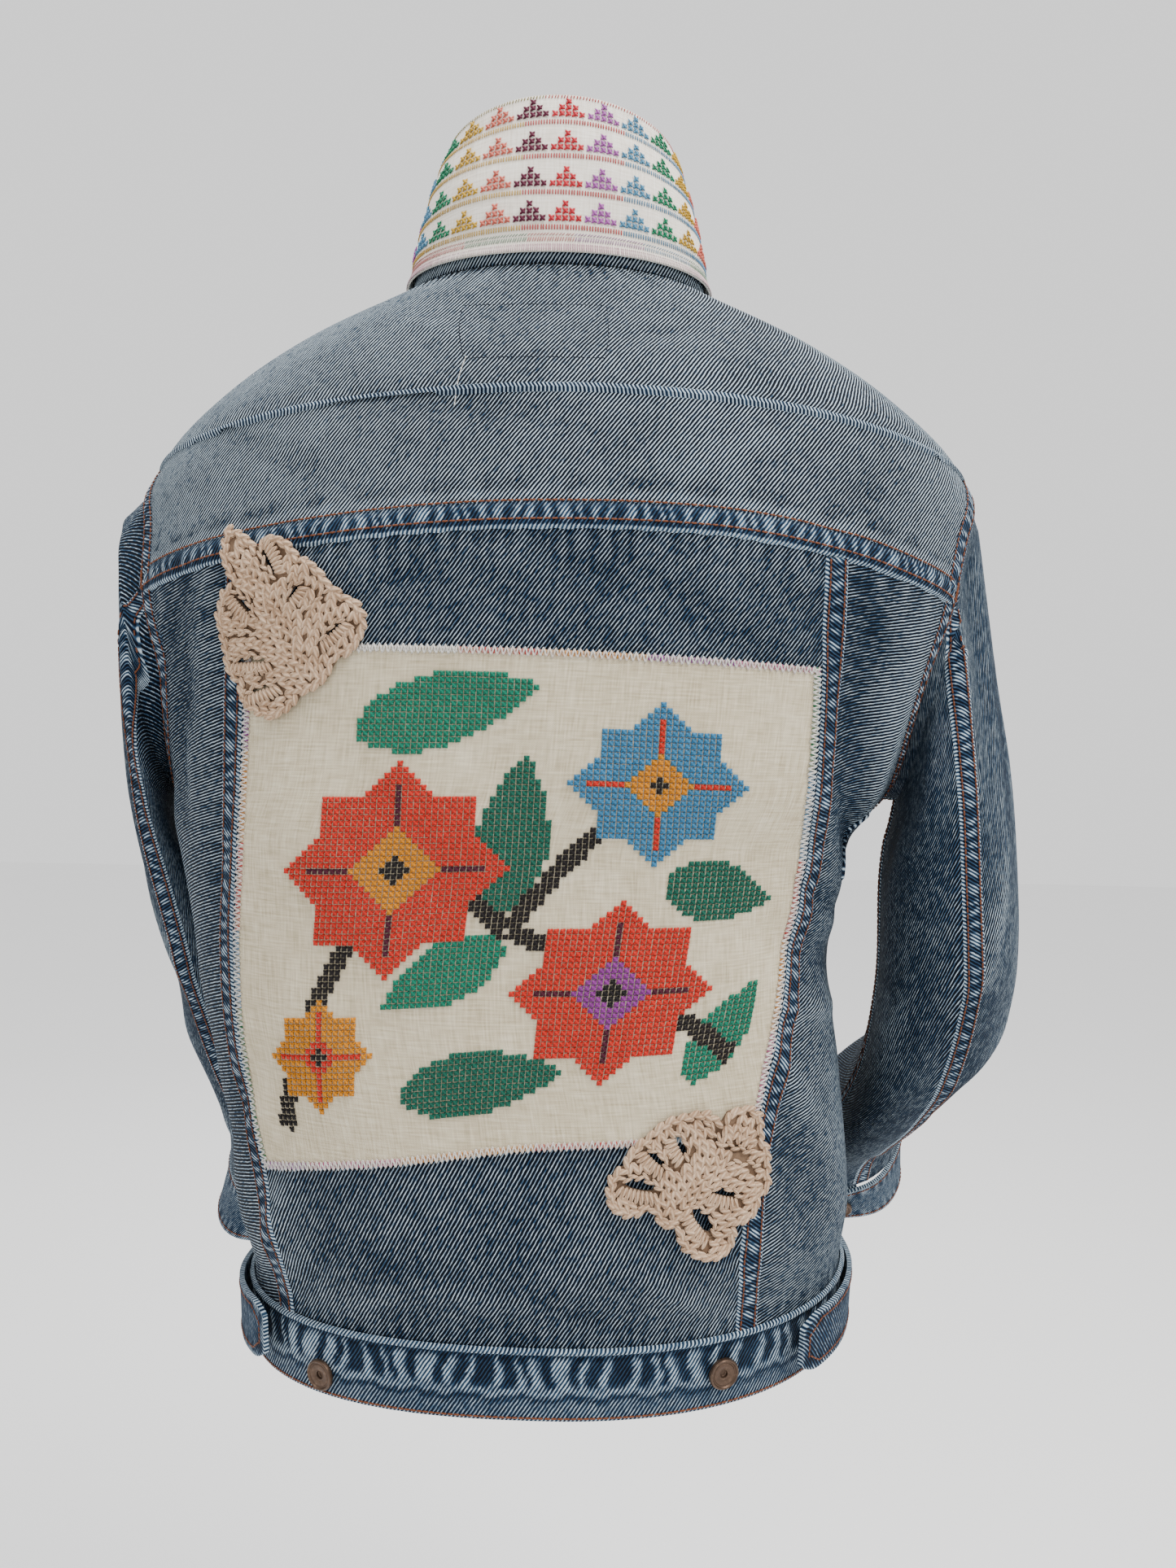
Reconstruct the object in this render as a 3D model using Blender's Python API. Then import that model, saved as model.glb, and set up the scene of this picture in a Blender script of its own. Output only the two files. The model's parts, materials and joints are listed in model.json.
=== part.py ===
# A denim jacket with an upturned collar, seen worn and held open by its wearer. Everything is in
# metres, +Z up, with the front at -Y and the wearer's left at +X. The origin is the middle of the
# neck at the height of the neck seam, where the wearer's shoulders hold the jacket up.
import math
from collections import namedtuple

import bmesh
import bpy
import numpy as np
from mathutils import Vector

DENIM = 0.0015
DOUBLED = 0.0025
LINEN = 0.0010
CROCHET = 0.0034
SEAM_GAP = 0.0004
REST_GAP = 0.0003
BAND_TOP = 0.0330
NECK = 0.5700
# Small steps over which the slope of a surface is measured, in radians, metres or shares.
ANGLE_STEP = 0.02
HEIGHT_STEP = 0.003
COLLAR_STEP = 0.02
SLEEVE_ANGLE_STEP = 0.03
SLEEVE_STEP = 0.04
SLEEVE_END_INSET = 0.05
MERGE_DISTANCE = 1e-5

DENIM_BLUE = (0.105, 0.175, 0.290)
LINEN_WHITE = (0.720, 0.660, 0.560)
YARN_TAN = (0.560, 0.430, 0.320)
BRONZE = (0.090, 0.055, 0.040)

# Level sections of the body of the jacket. t is the length of cloth up the back from the hem.
Ring = namedtuple("Ring", "t half_width back front z_back z_side z_front shift square left_drop")
TORSO_RINGS = (
    Ring(0.000, 0.158, 0.119, 0.135, -0.552, -0.546, -0.546, -0.007, 2.3, 0.014),
    Ring(0.040, 0.160, 0.120, 0.137, -0.512, -0.507, -0.507, -0.007, 2.3, 0.012),
    Ring(0.072, 0.166, 0.127, 0.141, -0.480, -0.477, -0.477, -0.004, 2.3, 0.007),
    Ring(0.142, 0.168, 0.126, 0.139, -0.410, -0.408, -0.408, 0.005, 2.3, 0.001),
    Ring(0.192, 0.170, 0.126, 0.137, -0.360, -0.358, -0.358, 0.013, 2.3, 0.000),
    Ring(0.262, 0.181, 0.127, 0.132, -0.290, -0.290, -0.290, 0.014, 2.3, 0.000),
    Ring(0.295, 0.191, 0.128, 0.131, -0.257, -0.260, -0.258, 0.006, 2.3, 0.000),
    Ring(0.345, 0.203, 0.128, 0.127, -0.207, -0.213, -0.209, 0.001, 2.3, 0.000),
    Ring(0.400, 0.219, 0.127, 0.118, -0.153, -0.168, -0.162, -0.003, 2.3, 0.000),
    Ring(0.445, 0.221, 0.118, 0.106, -0.110, -0.130, -0.128, -0.006, 2.2, 0.000),
    Ring(0.480, 0.210, 0.107, 0.098, -0.078, -0.098, -0.106, -0.007, 2.2, 0.000),
    Ring(0.505, 0.180, 0.096, 0.093, -0.057, -0.066, -0.093, -0.006, 2.2, 0.000),
    Ring(0.535, 0.138, 0.081, 0.088, -0.035, -0.036, -0.080, -0.005, 2.2, 0.000),
    Ring(0.570, 0.078, 0.062, 0.082, -0.0075, -0.007, -0.064, -0.004, 2.1, 0.000),
)

# Where the back panel's two long seams run, across from the middle.
PanelSeam = namedtuple("PanelSeam", "t left_x right_x")
PANEL_SEAMS = (
    PanelSeam(0.040, 0.119, -0.107),
    PanelSeam(0.100, 0.130, -0.109),
    PanelSeam(0.150, 0.144, -0.119),
    PanelSeam(0.210, 0.147, -0.130),
    PanelSeam(0.265, 0.143, -0.137),
    PanelSeam(0.340, 0.139, -0.139),
    PanelSeam(0.405, 0.136, -0.138),
)

# The back yoke seam's height at each angle round the body, and the linen patch's two ends.
AcrossBack = namedtuple("AcrossBack", "degrees t")
YOKE_SEAM = (
    AcrossBack(27, 0.393),
    AcrossBack(50, 0.4005),
    AcrossBack(90, 0.4085),
    AcrossBack(110, 0.4095),
    AcrossBack(125, 0.4060),
    AcrossBack(140, 0.3990),
    AcrossBack(153, 0.3930),
)
PATCH_BOTTOM = (AcrossBack(40, 0.104), AcrossBack(65, 0.117), AcrossBack(98, 0.131), AcrossBack(140, 0.133))
PATCH_TOP = (AcrossBack(40, 0.360), AcrossBack(70, 0.3561), AcrossBack(95, 0.3541), AcrossBack(140, 0.3510))

# The front edge and the placket's inner line, across from the middle.
FrontLine = namedtuple("FrontLine", "t edge_x placket_x")
FRONT_LINES = (
    FrontLine(0.000, 0.043, 0.077),
    FrontLine(0.200, 0.040, 0.074),
    FrontLine(0.400, 0.037, 0.070),
    FrontLine(0.500, 0.034, 0.064),
    FrontLine(0.570, 0.031, 0.056),
)
FRONT_YOKE_T = 0.404

# The armhole, as a loop of angle psi: 0 at the shoulder, 90 at the back, 180 under the arm.
ARMHOLE_MIDDLE_T = 0.380
ARMHOLE_HALF_T = 0.093
ARMHOLE_BACK = math.radians(27)
ARMHOLE_FRONT = math.radians(30)
ARMHOLE_WIDER_ABOVE = math.radians(3)
ARMHOLE_RADIUS = 0.125
YOKE_PSI = 82
SHOULDER_PSI = -12
FRONT_YOKE_PSI = -75
SHOULDER_NECK_DEGREES = -12

# Sections of each sleeve, as half-axes: out is towards the outer side, back towards the back.
SleeveRing = namedtuple("SleeveRing", "x y z out_x out_z back_x back_y back_z")
SLEEVES = {
    "right": (
        SleeveRing(0.2120, 0.000, -0.196, 0.019, 0.072, -0.010, 0.056, 0.000),
        SleeveRing(0.2165, 0.000, -0.240, 0.026, 0.042, -0.011, 0.064, 0.000),
        SleeveRing(0.2195, 0.000, -0.2725, 0.032, 0.0225, -0.012, 0.067, 0.000),
        SleeveRing(0.2220, 0.000, -0.315, 0.036, 0.005, -0.012, 0.067, 0.000),
        SleeveRing(0.2250, -0.002, -0.358, 0.038, 0.001, -0.012, 0.062, -0.006),
        SleeveRing(0.2215, -0.014, -0.396, 0.037, 0.012, -0.010, 0.050, -0.024),
        SleeveRing(0.2120, -0.048, -0.434, 0.036, 0.022, -0.008, 0.026, -0.034),
        SleeveRing(0.2010, -0.088, -0.464, 0.036, 0.020, -0.004, 0.022, -0.034),
        SleeveRing(0.1950, -0.122, -0.494, 0.037, 0.012, 0.000, 0.028, -0.030),
        SleeveRing(0.1970, -0.150, -0.530, 0.040, 0.004, 0.002, 0.040, -0.018),
    ),
    "left": (
        SleeveRing(0.2165, 0.000, -0.196, 0.0130, 0.072, -0.010, 0.056, 0.000),
        SleeveRing(0.2180, -0.004, -0.240, 0.0135, 0.042, -0.014, 0.062, 0.000),
        SleeveRing(0.2180, -0.014, -0.2725, 0.0145, 0.0225, -0.014, 0.060, 0.000),
        SleeveRing(0.2130, -0.034, -0.318, 0.0180, 0.004, -0.012, 0.058, 0.000),
        SleeveRing(0.2060, -0.054, -0.362, 0.022, 0.000, -0.010, 0.055, -0.008),
        SleeveRing(0.1990, -0.076, -0.408, 0.025, 0.000, -0.008, 0.048, -0.020),
        SleeveRing(0.1890, -0.100, -0.448, 0.028, 0.000, -0.006, 0.042, -0.028),
        SleeveRing(0.1840, -0.124, -0.486, 0.030, 0.000, -0.004, 0.040, -0.028),
        SleeveRing(0.1850, -0.145, -0.522, 0.034, 0.000, -0.002, 0.042, -0.020),
        SleeveRing(0.1930, -0.160, -0.566, 0.038, 0.000, 0.000, 0.046, -0.012),
    ),
}
CUFF_START = 9
CUFF_END = 10
SLEEVE_FULLNESS = 0.85

# The largest folds of the body: x and t of the middle, its half length and half width, how far
# it lies to one side of upright, and its depth, which is a ridge where it is above zero.
Fold = namedtuple("Fold", "x t back run width lean depth")
FOLD_FADE_AT_SIDE = 0.03
FOLD_FADE_AT_BAND = 0.03
FOLD_FADE_AT_NECK = 0.05
BODY_FOLDS = (
    Fold(-0.152, 0.325, True, 0.060, 0.011, 8, -0.0050),
    Fold(-0.176, 0.350, True, 0.045, 0.012, -14, 0.0050),
    Fold(-0.120, 0.385, True, 0.030, 0.010, 40, -0.0022),
    Fold(-0.080, 0.372, True, 0.040, 0.010, 58, -0.0018),
    Fold(0.172, 0.330, True, 0.050, 0.010, -6, -0.0040),
    Fold(0.158, 0.352, True, 0.040, 0.010, -4, 0.0025),
    Fold(-0.146, 0.205, True, 0.040, 0.012, 62, -0.0035),
    Fold(-0.135, 0.100, True, 0.045, 0.012, 20, -0.0030),
    Fold(0.150, 0.120, True, 0.040, 0.010, -30, -0.0028),
    Fold(0.040, 0.070, True, 0.040, 0.010, 80, -0.0015),
    Fold(-0.150, 0.330, False, 0.055, 0.012, 12, -0.0045),
    Fold(0.152, 0.322, False, 0.050, 0.012, -10, -0.0042),
    Fold(-0.120, 0.190, False, 0.060, 0.014, 30, -0.0032),
    Fold(0.118, 0.205, False, 0.055, 0.014, -26, -0.0035),
    Fold(-0.100, 0.095, False, 0.045, 0.013, 10, -0.0025),
    Fold(0.104, 0.090, False, 0.040, 0.013, -14, -0.0027),
)

# The largest folds of the sleeves, in degrees round the sleeve and in sections along it. A section
# is about as long as this many degrees are wide, and folds and the armhole's slope fade over q.
DEGREES_PER_SECTION = 45
SLEEVE_FADE_AT_ARMHOLE = 0.8
SLEEVE_FADE_AT_CUFF = 0.6
ARMHOLE_SLOPE_FADE = 0.35
SleeveFold = namedtuple("SleeveFold", "psi q run width lean depth")
SLEEVE_FOLDS = {
    "right": (
        SleeveFold(55, 1.7, 1.3, 14, 0, -0.0045),
        SleeveFold(110, 2.2, 1.2, 14, 8, 0.0035),
        SleeveFold(40, 5.2, 0.8, 22, 60, -0.0032),
        SleeveFold(100, 6.1, 0.7, 22, 66, -0.0035),
        SleeveFold(20, 6.6, 0.7, 20, 58, -0.0030),
        SleeveFold(-95, 5.6, 0.5, 40, 84, -0.0060),
        SleeveFold(-80, 6.6, 0.5, 36, 80, -0.0045),
        SleeveFold(70, 8.2, 0.5, 30, 75, -0.0025),
        SleeveFold(-60, 2.4, 1.2, 16, 10, -0.0035),
    ),
    "left": (
        SleeveFold(35, 1.9, 1.2, 14, 4, -0.0025),
        SleeveFold(60, 3.4, 1.4, 16, 10, 0.0025),
        SleeveFold(40, 5.4, 0.8, 22, 60, -0.0028),
        SleeveFold(95, 6.3, 0.7, 22, 64, -0.0030),
        SleeveFold(-95, 5.8, 0.5, 38, 82, -0.0050),
        SleeveFold(-75, 6.9, 0.5, 34, 80, -0.0040),
        SleeveFold(-60, 2.6, 1.2, 16, -8, -0.0032),
    ),
}

# The collar's upper edge, as the lower one is given by the last ring of the body.
COLLAR_TOP = Ring(0.0, 0.0575, 0.049, 0.090, 0.0790, 0.0700, 0.0080, -0.0045, 2.1, 0.0)
COLLAR_BULGE = 0.004
COLLAR_LIFT = 0.0006
PATCH_LOW_V = 0.050
PATCH_HIGH_V = 0.985


def curve(x, y):
    """A smooth curve through a column of a table, which never swings past its values."""
    x, y = np.array(x, float), np.array(y, float)
    step, rise = np.diff(x), np.diff(y) / np.diff(x)
    slope = np.concatenate([[rise[0]], np.zeros(len(x) - 2), [rise[-1]]])
    for i in range(1, len(x) - 1):
        if rise[i - 1] * rise[i] > 0:
            near, far = 2 * step[i] + step[i - 1], step[i] + 2 * step[i - 1]
            slope[i] = (near + far) / (near / rise[i - 1] + far / rise[i])

    def at(q):
        q = np.asarray(q, float)
        i = np.clip(np.searchsorted(x, q) - 1, 0, len(x) - 2)
        h = step[i]
        u = (q - x[i]) / h
        k = np.clip(u, 0, 1)
        value = (
            (1 + 2 * k) * (1 - k) ** 2 * y[i]
            + k * (1 - k) ** 2 * h * slope[i]
            + k**2 * (3 - 2 * k) * y[i + 1]
            + k**2 * (k - 1) * h * slope[i + 1]
        )
        return value + (u - k) * h * np.where(u < 0, slope[i], slope[i + 1])

    return at


def column_curves(rows, along):
    """One curve for each named column of a table."""
    names = [name for name in rows[0]._fields if name != along]
    at = [getattr(row, along) for row in rows]
    return {name: curve(at, [getattr(row, name) for row in rows]) for name in names}


def unit(v):
    return v / np.linalg.norm(v, axis=-1, keepdims=True)


def smooth(x):
    x = np.clip(x, 0, 1)
    return x * x * (3 - 2 * x)


TORSO = column_curves(TORSO_RINGS, "t")
SEAMS = column_curves(PANEL_SEAMS, "t")
FRONT = column_curves(FRONT_LINES, "t")
YOKE_T = column_curves(YOKE_SEAM, "degrees")["t"]
PATCH_BOTTOM_T = column_curves(PATCH_BOTTOM, "degrees")["t"]
PATCH_TOP_T = column_curves(PATCH_TOP, "degrees")["t"]


def angle_at(x, t, back=True):
    """The angle round the body of the point that lies x across from the middle at height t."""
    n = TORSO["square"](t)
    across = np.clip((x - TORSO["shift"](t)) / TORSO["half_width"](t), -1, 1)
    deep = (1 - np.abs(across) ** n) ** (1 / n)
    return np.arctan2(deep if back else -deep, across)


def plain_torso(theta, t):
    c, s = np.cos(theta), np.sin(theta)
    n = TORSO["square"](t)
    k = (np.abs(c) ** n + np.abs(s) ** n) ** (1 / n)
    depth = np.where(s > 0, TORSO["back"](t), TORSO["front"](t))
    z_middle = np.where(s > 0, TORSO["z_back"](t), TORSO["z_front"](t))
    x = TORSO["shift"](t) + TORSO["half_width"](t) * c / k
    z = TORSO["z_side"](t) * c * c + z_middle * s * s - TORSO["left_drop"](t) * np.maximum(c, 0) ** 2
    return np.stack([x, depth * s / k, z], -1)


def surface_normal(surface, a, b, step_a, step_b):
    along = surface(a + step_a, b) - surface(a - step_a, b)
    up = surface(a, b + step_b) - surface(a, b - step_b)
    return unit(np.cross(along, up))


def body_relief(point, t):
    """How far the large folds push the cloth out."""
    out = np.zeros(point.shape[:-1])
    for fold in BODY_FOLDS:
        same_face = smooth((point[..., 1] if fold.back else -point[..., 1]) / FOLD_FADE_AT_SIDE)
        dx, dt = point[..., 0] - fold.x, t - fold.t
        lean = math.radians(fold.lean)
        along = dt * math.cos(lean) + dx * math.sin(lean)
        across = dx * math.cos(lean) - dt * math.sin(lean)
        hump = np.exp(-((across / fold.width) ** 2) - (along / fold.run) ** 2)
        out += fold.depth * hump * same_face
    out *= smooth((t - BAND_TOP) / FOLD_FADE_AT_BAND)
    return out * smooth((NECK - t) / FOLD_FADE_AT_NECK)


def torso(theta, t, out=0.0):
    theta, t = np.broadcast_arrays(np.asarray(theta, float), np.asarray(t, float))
    point = plain_torso(theta, t)
    normal = surface_normal(plain_torso, theta, t, ANGLE_STEP, HEIGHT_STEP)
    return point + normal * (body_relief(point, t) + out)[..., None]


def torso_normal(theta, t):
    theta, t = np.broadcast_arrays(np.asarray(theta, float), np.asarray(t, float))
    return surface_normal(plain_torso, theta, t, ANGLE_STEP, HEIGHT_STEP)


def armhole(side, psi, inset=0.0):
    half = np.where(np.sin(psi) > 0, ARMHOLE_BACK, ARMHOLE_FRONT) + ARMHOLE_WIDER_ABOVE * np.cos(psi)
    swing = (half - inset / ARMHOLE_RADIUS) * np.sin(psi)
    theta = swing if side > 0 else math.pi - swing
    return theta, ARMHOLE_MIDDLE_T + (ARMHOLE_HALF_T - inset) * np.cos(psi)


def sleeve_surface(name):
    """The sleeve's outer side as a function of psi and q, which is 0 at the armhole, then 1, 2, ..."""
    side = 1 if name == "left" else -1
    rows = SLEEVES[name]
    columns = {
        field: curve(np.arange(1, len(rows) + 1), [getattr(row, field) for row in rows])
        for field in SleeveRing._fields
    }

    def plain(psi, q):
        psi, q = np.broadcast_arrays(np.asarray(psi, float), np.asarray(q, float))
        start = torso(*armhole(side, psi, SEAM_GAP), REST_GAP)
        ring = {field: at(np.maximum(q, 1)) for field, at in columns.items()}
        c, s = (np.sign(f) * np.abs(f) ** SLEEVE_FULLNESS for f in (np.cos(psi), np.sin(psi)))
        x = side * (ring["x"] + ring["out_x"] * c + ring["back_x"] * s)
        y = ring["y"] + ring["back_y"] * s
        z = ring["z"] + ring["out_z"] * c + ring["back_z"] * s
        share = np.clip(q, 0, 1)[..., None]
        return start * (1 - share) + np.stack([x, y, z], -1) * share

    def relief(psi, q):
        out = np.zeros(psi.shape)
        for fold in SLEEVE_FOLDS[name]:
            away = (psi - math.radians(fold.psi) + math.pi) % (2 * math.pi) - math.pi
            turn = np.degrees(away) / DEGREES_PER_SECTION
            lean = math.radians(fold.lean)
            along = (q - fold.q) * math.cos(lean) + turn * math.sin(lean)
            across = turn * math.cos(lean) - (q - fold.q) * math.sin(lean)
            width = fold.width / DEGREES_PER_SECTION
            out += fold.depth * np.exp(-((across / width) ** 2) - (along / fold.run) ** 2)
        out *= smooth(q / SLEEVE_FADE_AT_ARMHOLE)
        return out * smooth((CUFF_START - q) / SLEEVE_FADE_AT_CUFF)

    def surface(psi, q, out=0.0):
        psi, q = np.broadcast_arrays(np.asarray(psi, float), np.asarray(q, float))
        inside_ends = np.clip(q, SLEEVE_END_INSET, CUFF_END - SLEEVE_END_INSET)
        away = side * -surface_normal(plain, psi, inside_ends, SLEEVE_ANGLE_STEP, SLEEVE_STEP)
        seam = torso_normal(*armhole(side, psi))
        normal = unit(away + seam * (1 - smooth(q / ARMHOLE_SLOPE_FADE))[..., None])
        return plain(psi, q) + normal * (relief(psi, q) + out)[..., None]

    return surface


def collar_surface(theta, v, out=0.0):
    """The collar's outer side: v runs from the neck seam at 0 to the upper edge at 1."""
    theta, v = np.broadcast_arrays(np.asarray(theta, float), np.asarray(v, float))

    def plain(angle, height):
        foot = plain_torso(angle, np.full(angle.shape, NECK)) + np.array([0, 0, COLLAR_LIFT])
        c, s = np.cos(angle), np.sin(angle)
        k = (np.abs(c) ** COLLAR_TOP.square + np.abs(s) ** COLLAR_TOP.square) ** (1 / COLLAR_TOP.square)
        depth = np.where(s > 0, COLLAR_TOP.back, COLLAR_TOP.front)
        z_middle = np.where(s > 0, COLLAR_TOP.z_back, COLLAR_TOP.z_front)
        x = COLLAR_TOP.shift + COLLAR_TOP.half_width * c / k
        head = np.stack([x, depth * s / k, COLLAR_TOP.z_side * c * c + z_middle * s * s], -1)
        swell = COLLAR_BULGE * np.sin(math.pi * np.clip(height, 0, 1))
        bulge = np.stack([c, s, np.zeros(c.shape)], -1) * swell[..., None]
        return foot * (1 - height)[..., None] + head * height[..., None] + bulge

    normal = surface_normal(plain, theta, v, ANGLE_STEP, COLLAR_STEP)
    return plain(theta, v) + normal * np.asarray(out)[..., None]


def coons(bottom, top, left, right):
    """A grid of (angle, t) points between four rows of points that share their corners."""
    bottom, top, left, right = (np.array(edge, float) for edge in (bottom, top, left, right))
    u = np.linspace(0, 1, len(bottom))[None, :, None]
    v = np.linspace(0, 1, len(left))[:, None, None]
    between = (1 - v) * bottom[None] + v * top[None] + (1 - u) * left[:, None] + u * right[:, None]
    low = (1 - u) * bottom[0] + u * bottom[-1]
    high = (1 - u) * top[0] + u * top[-1]
    return between - (1 - v) * low - v * high


def joined(*pieces):
    """Runs of points laid end to end, with each shared end kept once."""
    return np.concatenate([pieces[0]] + [piece[1:] for piece in pieces[1:]])


def drawn_in(outer, inner, edges):
    """Draws the named edges of a grid in by half a seam's gap, square to each edge."""
    drawn = outer.copy(), inner.copy()
    last = {"bottom": 0, "top": -1, "left": 0, "right": -1}
    for edge in edges:
        at = last[edge]
        near = 1 if at == 0 else -2
        pick = (at,) if edge in ("bottom", "top") else (slice(None), at)
        beside = (near,) if edge in ("bottom", "top") else (slice(None), near)
        along = unit(np.gradient(outer[pick], axis=0))
        inward = outer[beside] - outer[pick]
        inward = inward - along * np.sum(inward * along, axis=-1, keepdims=True)
        for grid in drawn:
            grid[pick] += unit(inward) * (SEAM_GAP / 2)
    return drawn


def material_for(name, colour, roughness, metallic=0.0):
    material = bpy.data.materials.get(name) or bpy.data.materials.new(name)
    material.use_nodes = True
    shader = material.node_tree.nodes["Principled BSDF"]
    shader.inputs["Base Color"].default_value = (*colour, 1)
    shader.inputs["Roughness"].default_value = roughness
    shader.inputs["Metallic"].default_value = metallic
    return material


def finish(name, mesh, material, parts):
    bm = bmesh.new()
    bm.from_mesh(mesh)
    bmesh.ops.recalc_face_normals(bm, faces=bm.faces)
    bm.to_mesh(mesh)
    bm.free()
    mesh.materials.append(material)
    mesh.shade_smooth()
    mesh.set_sharp_from_angle(angle=math.radians(40))
    obj = bpy.data.objects.new(name, mesh)
    parts.objects.link(obj)
    return obj


def wall(name, outer, inner, material, parts):
    """A closed wall between two grids of points, triangulated alike so that its thickness is even."""
    rows, columns = outer.shape[:2]
    count = rows * columns
    index = np.arange(count).reshape(rows, columns)
    faces = []
    for r in range(rows - 1):
        for c in range(columns - 1):
            a, b, d, e = index[r, c], index[r, c + 1], index[r + 1, c + 1], index[r + 1, c]
            one_way = np.linalg.norm(outer[r, c] - outer[r + 1, c + 1])
            other_way = np.linalg.norm(outer[r, c + 1] - outer[r + 1, c])
            halves = ((a, b, d), (a, d, e)) if one_way < other_way else ((a, b, e), (b, d, e))
            for corners in halves:
                faces.append(corners)
                faces.append(tuple(count + i for i in reversed(corners)))
    around = [*index[0, :-1], *index[:-1, -1], *index[-1, :0:-1], *index[:0:-1, 0]]
    for a, b in zip(around, around[1:] + around[:1]):
        faces.append((a, count + a, count + b))
        faces.append((a, count + b, b))
    points = np.concatenate([outer.reshape(-1, 3), inner.reshape(-1, 3)])
    mesh = bpy.data.meshes.new(name)
    mesh.from_pydata(points.tolist(), [], [tuple(int(i) for i in face) for face in faces])
    return finish(name, mesh, material, parts)


def body_wall(name, grid, outside, inside, edges, material, parts):
    theta, t = grid[..., 0], grid[..., 1]
    outer, inner = drawn_in(torso(theta, t, outside), torso(theta, t, inside), edges)
    return wall(name, outer, inner, material, parts)


ALL_EDGES = ("bottom", "top", "left", "right")
FIRST_BACK_DEGREES = (48, 132)
SEAM_SEARCH_STEPS = 12
BACK_COLUMNS = (0.0, 0.03, 0.11, 0.20, 0.30, 0.40, 0.50, 0.60, 0.70, 0.80, 0.89, 0.97, 1.0)
BACK_ROWS_BELOW = 3
BACK_ROWS_BEHIND = 8
BACK_ROWS_ABOVE = 2
YOKE_SIDE_COLUMNS = 3
BACK_ARM_COLUMNS = 6
UPPER_ARM_COLUMNS = 6
FRONT_ARM_COLUMNS = 4
LOWER_ARM_COLUMNS = 6
SHOULDER_ROWS = 5
FRONT_ROWS = 11
FRONT_YOKE_COLUMNS = 6
PLACKET_COLUMNS = 2
BAND_ROWS = 2
BAND_COLUMNS = 48


def degrees_between(start, end, count):
    return np.radians(np.linspace(start, end, count + 1))


def armhole_points(side, start, end, count):
    return np.stack(armhole(side, degrees_between(start, end, count)), -1)


def back_grid():
    """The back panel's points: rows from the waistband to the yoke, columns from left to right."""
    u = np.array(BACK_COLUMNS)
    low = BAND_TOP + REST_GAP
    grid = []
    guess = np.radians(np.linspace(*FIRST_BACK_DEGREES, len(u)))

    def row_at(t_of_angle):
        theta = guess
        for _ in range(SEAM_SEARCH_STEPS):
            t = t_of_angle(theta)
            x = SEAMS["left_x"](t) * (1 - u) + SEAMS["right_x"](t) * u
            theta = angle_at(x, t)
        return np.stack([theta, t_of_angle(theta)], -1)

    lines = [
        lambda angle: np.full(angle.shape, low),
        lambda angle: PATCH_BOTTOM_T(np.degrees(angle)),
        lambda angle: PATCH_TOP_T(np.degrees(angle)),
        lambda angle: YOKE_T(np.degrees(angle)),
    ]
    for k, steps in enumerate((BACK_ROWS_BELOW, BACK_ROWS_BEHIND, BACK_ROWS_ABOVE)):
        for i in range(steps + (k == 2)):
            share = i / steps
            grid.append(
                row_at(lambda angle: lines[k](angle) * (1 - share) + lines[k + 1](angle) * share)
            )
    return np.array(grid)


def yoke_side(side, back):
    """The yoke seam from the back panel's corner to the armhole."""
    corner = back[-1, 0 if side > 0 else -1]
    end = np.array(armhole(side, np.radians(float(YOKE_PSI))))
    theta = np.linspace(corner[0], end[0], YOKE_SIDE_COLUMNS + 1)
    t = YOKE_T(np.degrees(theta))
    line = np.stack([theta, t], -1)
    line[0], line[-1] = corner, end
    return line


def side_back_grid(side, back):
    inner_seam = back[:, 0 if side > 0 else -1]
    top = joined(yoke_side(side, back), armhole_points(side, YOKE_PSI, 180, BACK_ARM_COLUMNS))
    share = (inner_seam[:, 1] - inner_seam[0, 1]) / (inner_seam[-1, 1] - inner_seam[0, 1])
    under_arm = top[-1]
    low = inner_seam[0, 1]
    side_seam = np.stack([np.full(share.shape, under_arm[0]), low + (under_arm[1] - low) * share], -1)
    bottom = np.stack(
        [np.linspace(inner_seam[0, 0], under_arm[0], len(top)), np.full(len(top), low)], -1
    )
    return coons(bottom, top, inner_seam, side_seam)


def back_yoke_grid(back):
    left, right = (yoke_side(side, back) for side in (1, -1))
    bottom = joined(left[::-1], back[-1], right)
    flanks = []
    for side in (1, -1):
        arm = armhole_points(side, YOKE_PSI, SHOULDER_PSI, UPPER_ARM_COLUMNS)
        flanks.append(joined(arm, shoulder_seam(side)))
    neck = np.linspace(flanks[0][-1, 0], flanks[1][-1, 0], len(bottom))
    top = np.stack([neck, np.full(len(bottom), NECK)], -1)
    return coons(bottom, top, flanks[0], flanks[1])


def shoulder_seam(side, steps=SHOULDER_ROWS):
    start = np.array(armhole(side, np.radians(float(SHOULDER_PSI))))
    degrees = SHOULDER_NECK_DEGREES if side > 0 else 180 - SHOULDER_NECK_DEGREES
    end = np.array([math.radians(degrees), NECK])
    return start + (end - start) * np.linspace(0, 1, steps + 1)[:, None]


def front_angle(side, column, t):
    """The angle of the front edge or of the placket's inner line, told on from the side's own angle."""
    theta = angle_at(side * FRONT[column](t), t, back=False)
    return theta if side > 0 else np.where(theta < 0, theta + 2 * math.pi, theta)


def placket_line(side, column, t):
    return np.stack([front_angle(side, column, t), t], -1)


def front_yoke_line(side, columns=FRONT_YOKE_COLUMNS):
    start = np.array(armhole(side, np.radians(float(FRONT_YOKE_PSI))))
    end = placket_line(side, "placket_x", np.array([FRONT_YOKE_T]))[0]
    return start + (end - start) * np.linspace(0, 1, columns + 1)[:, None]


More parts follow.
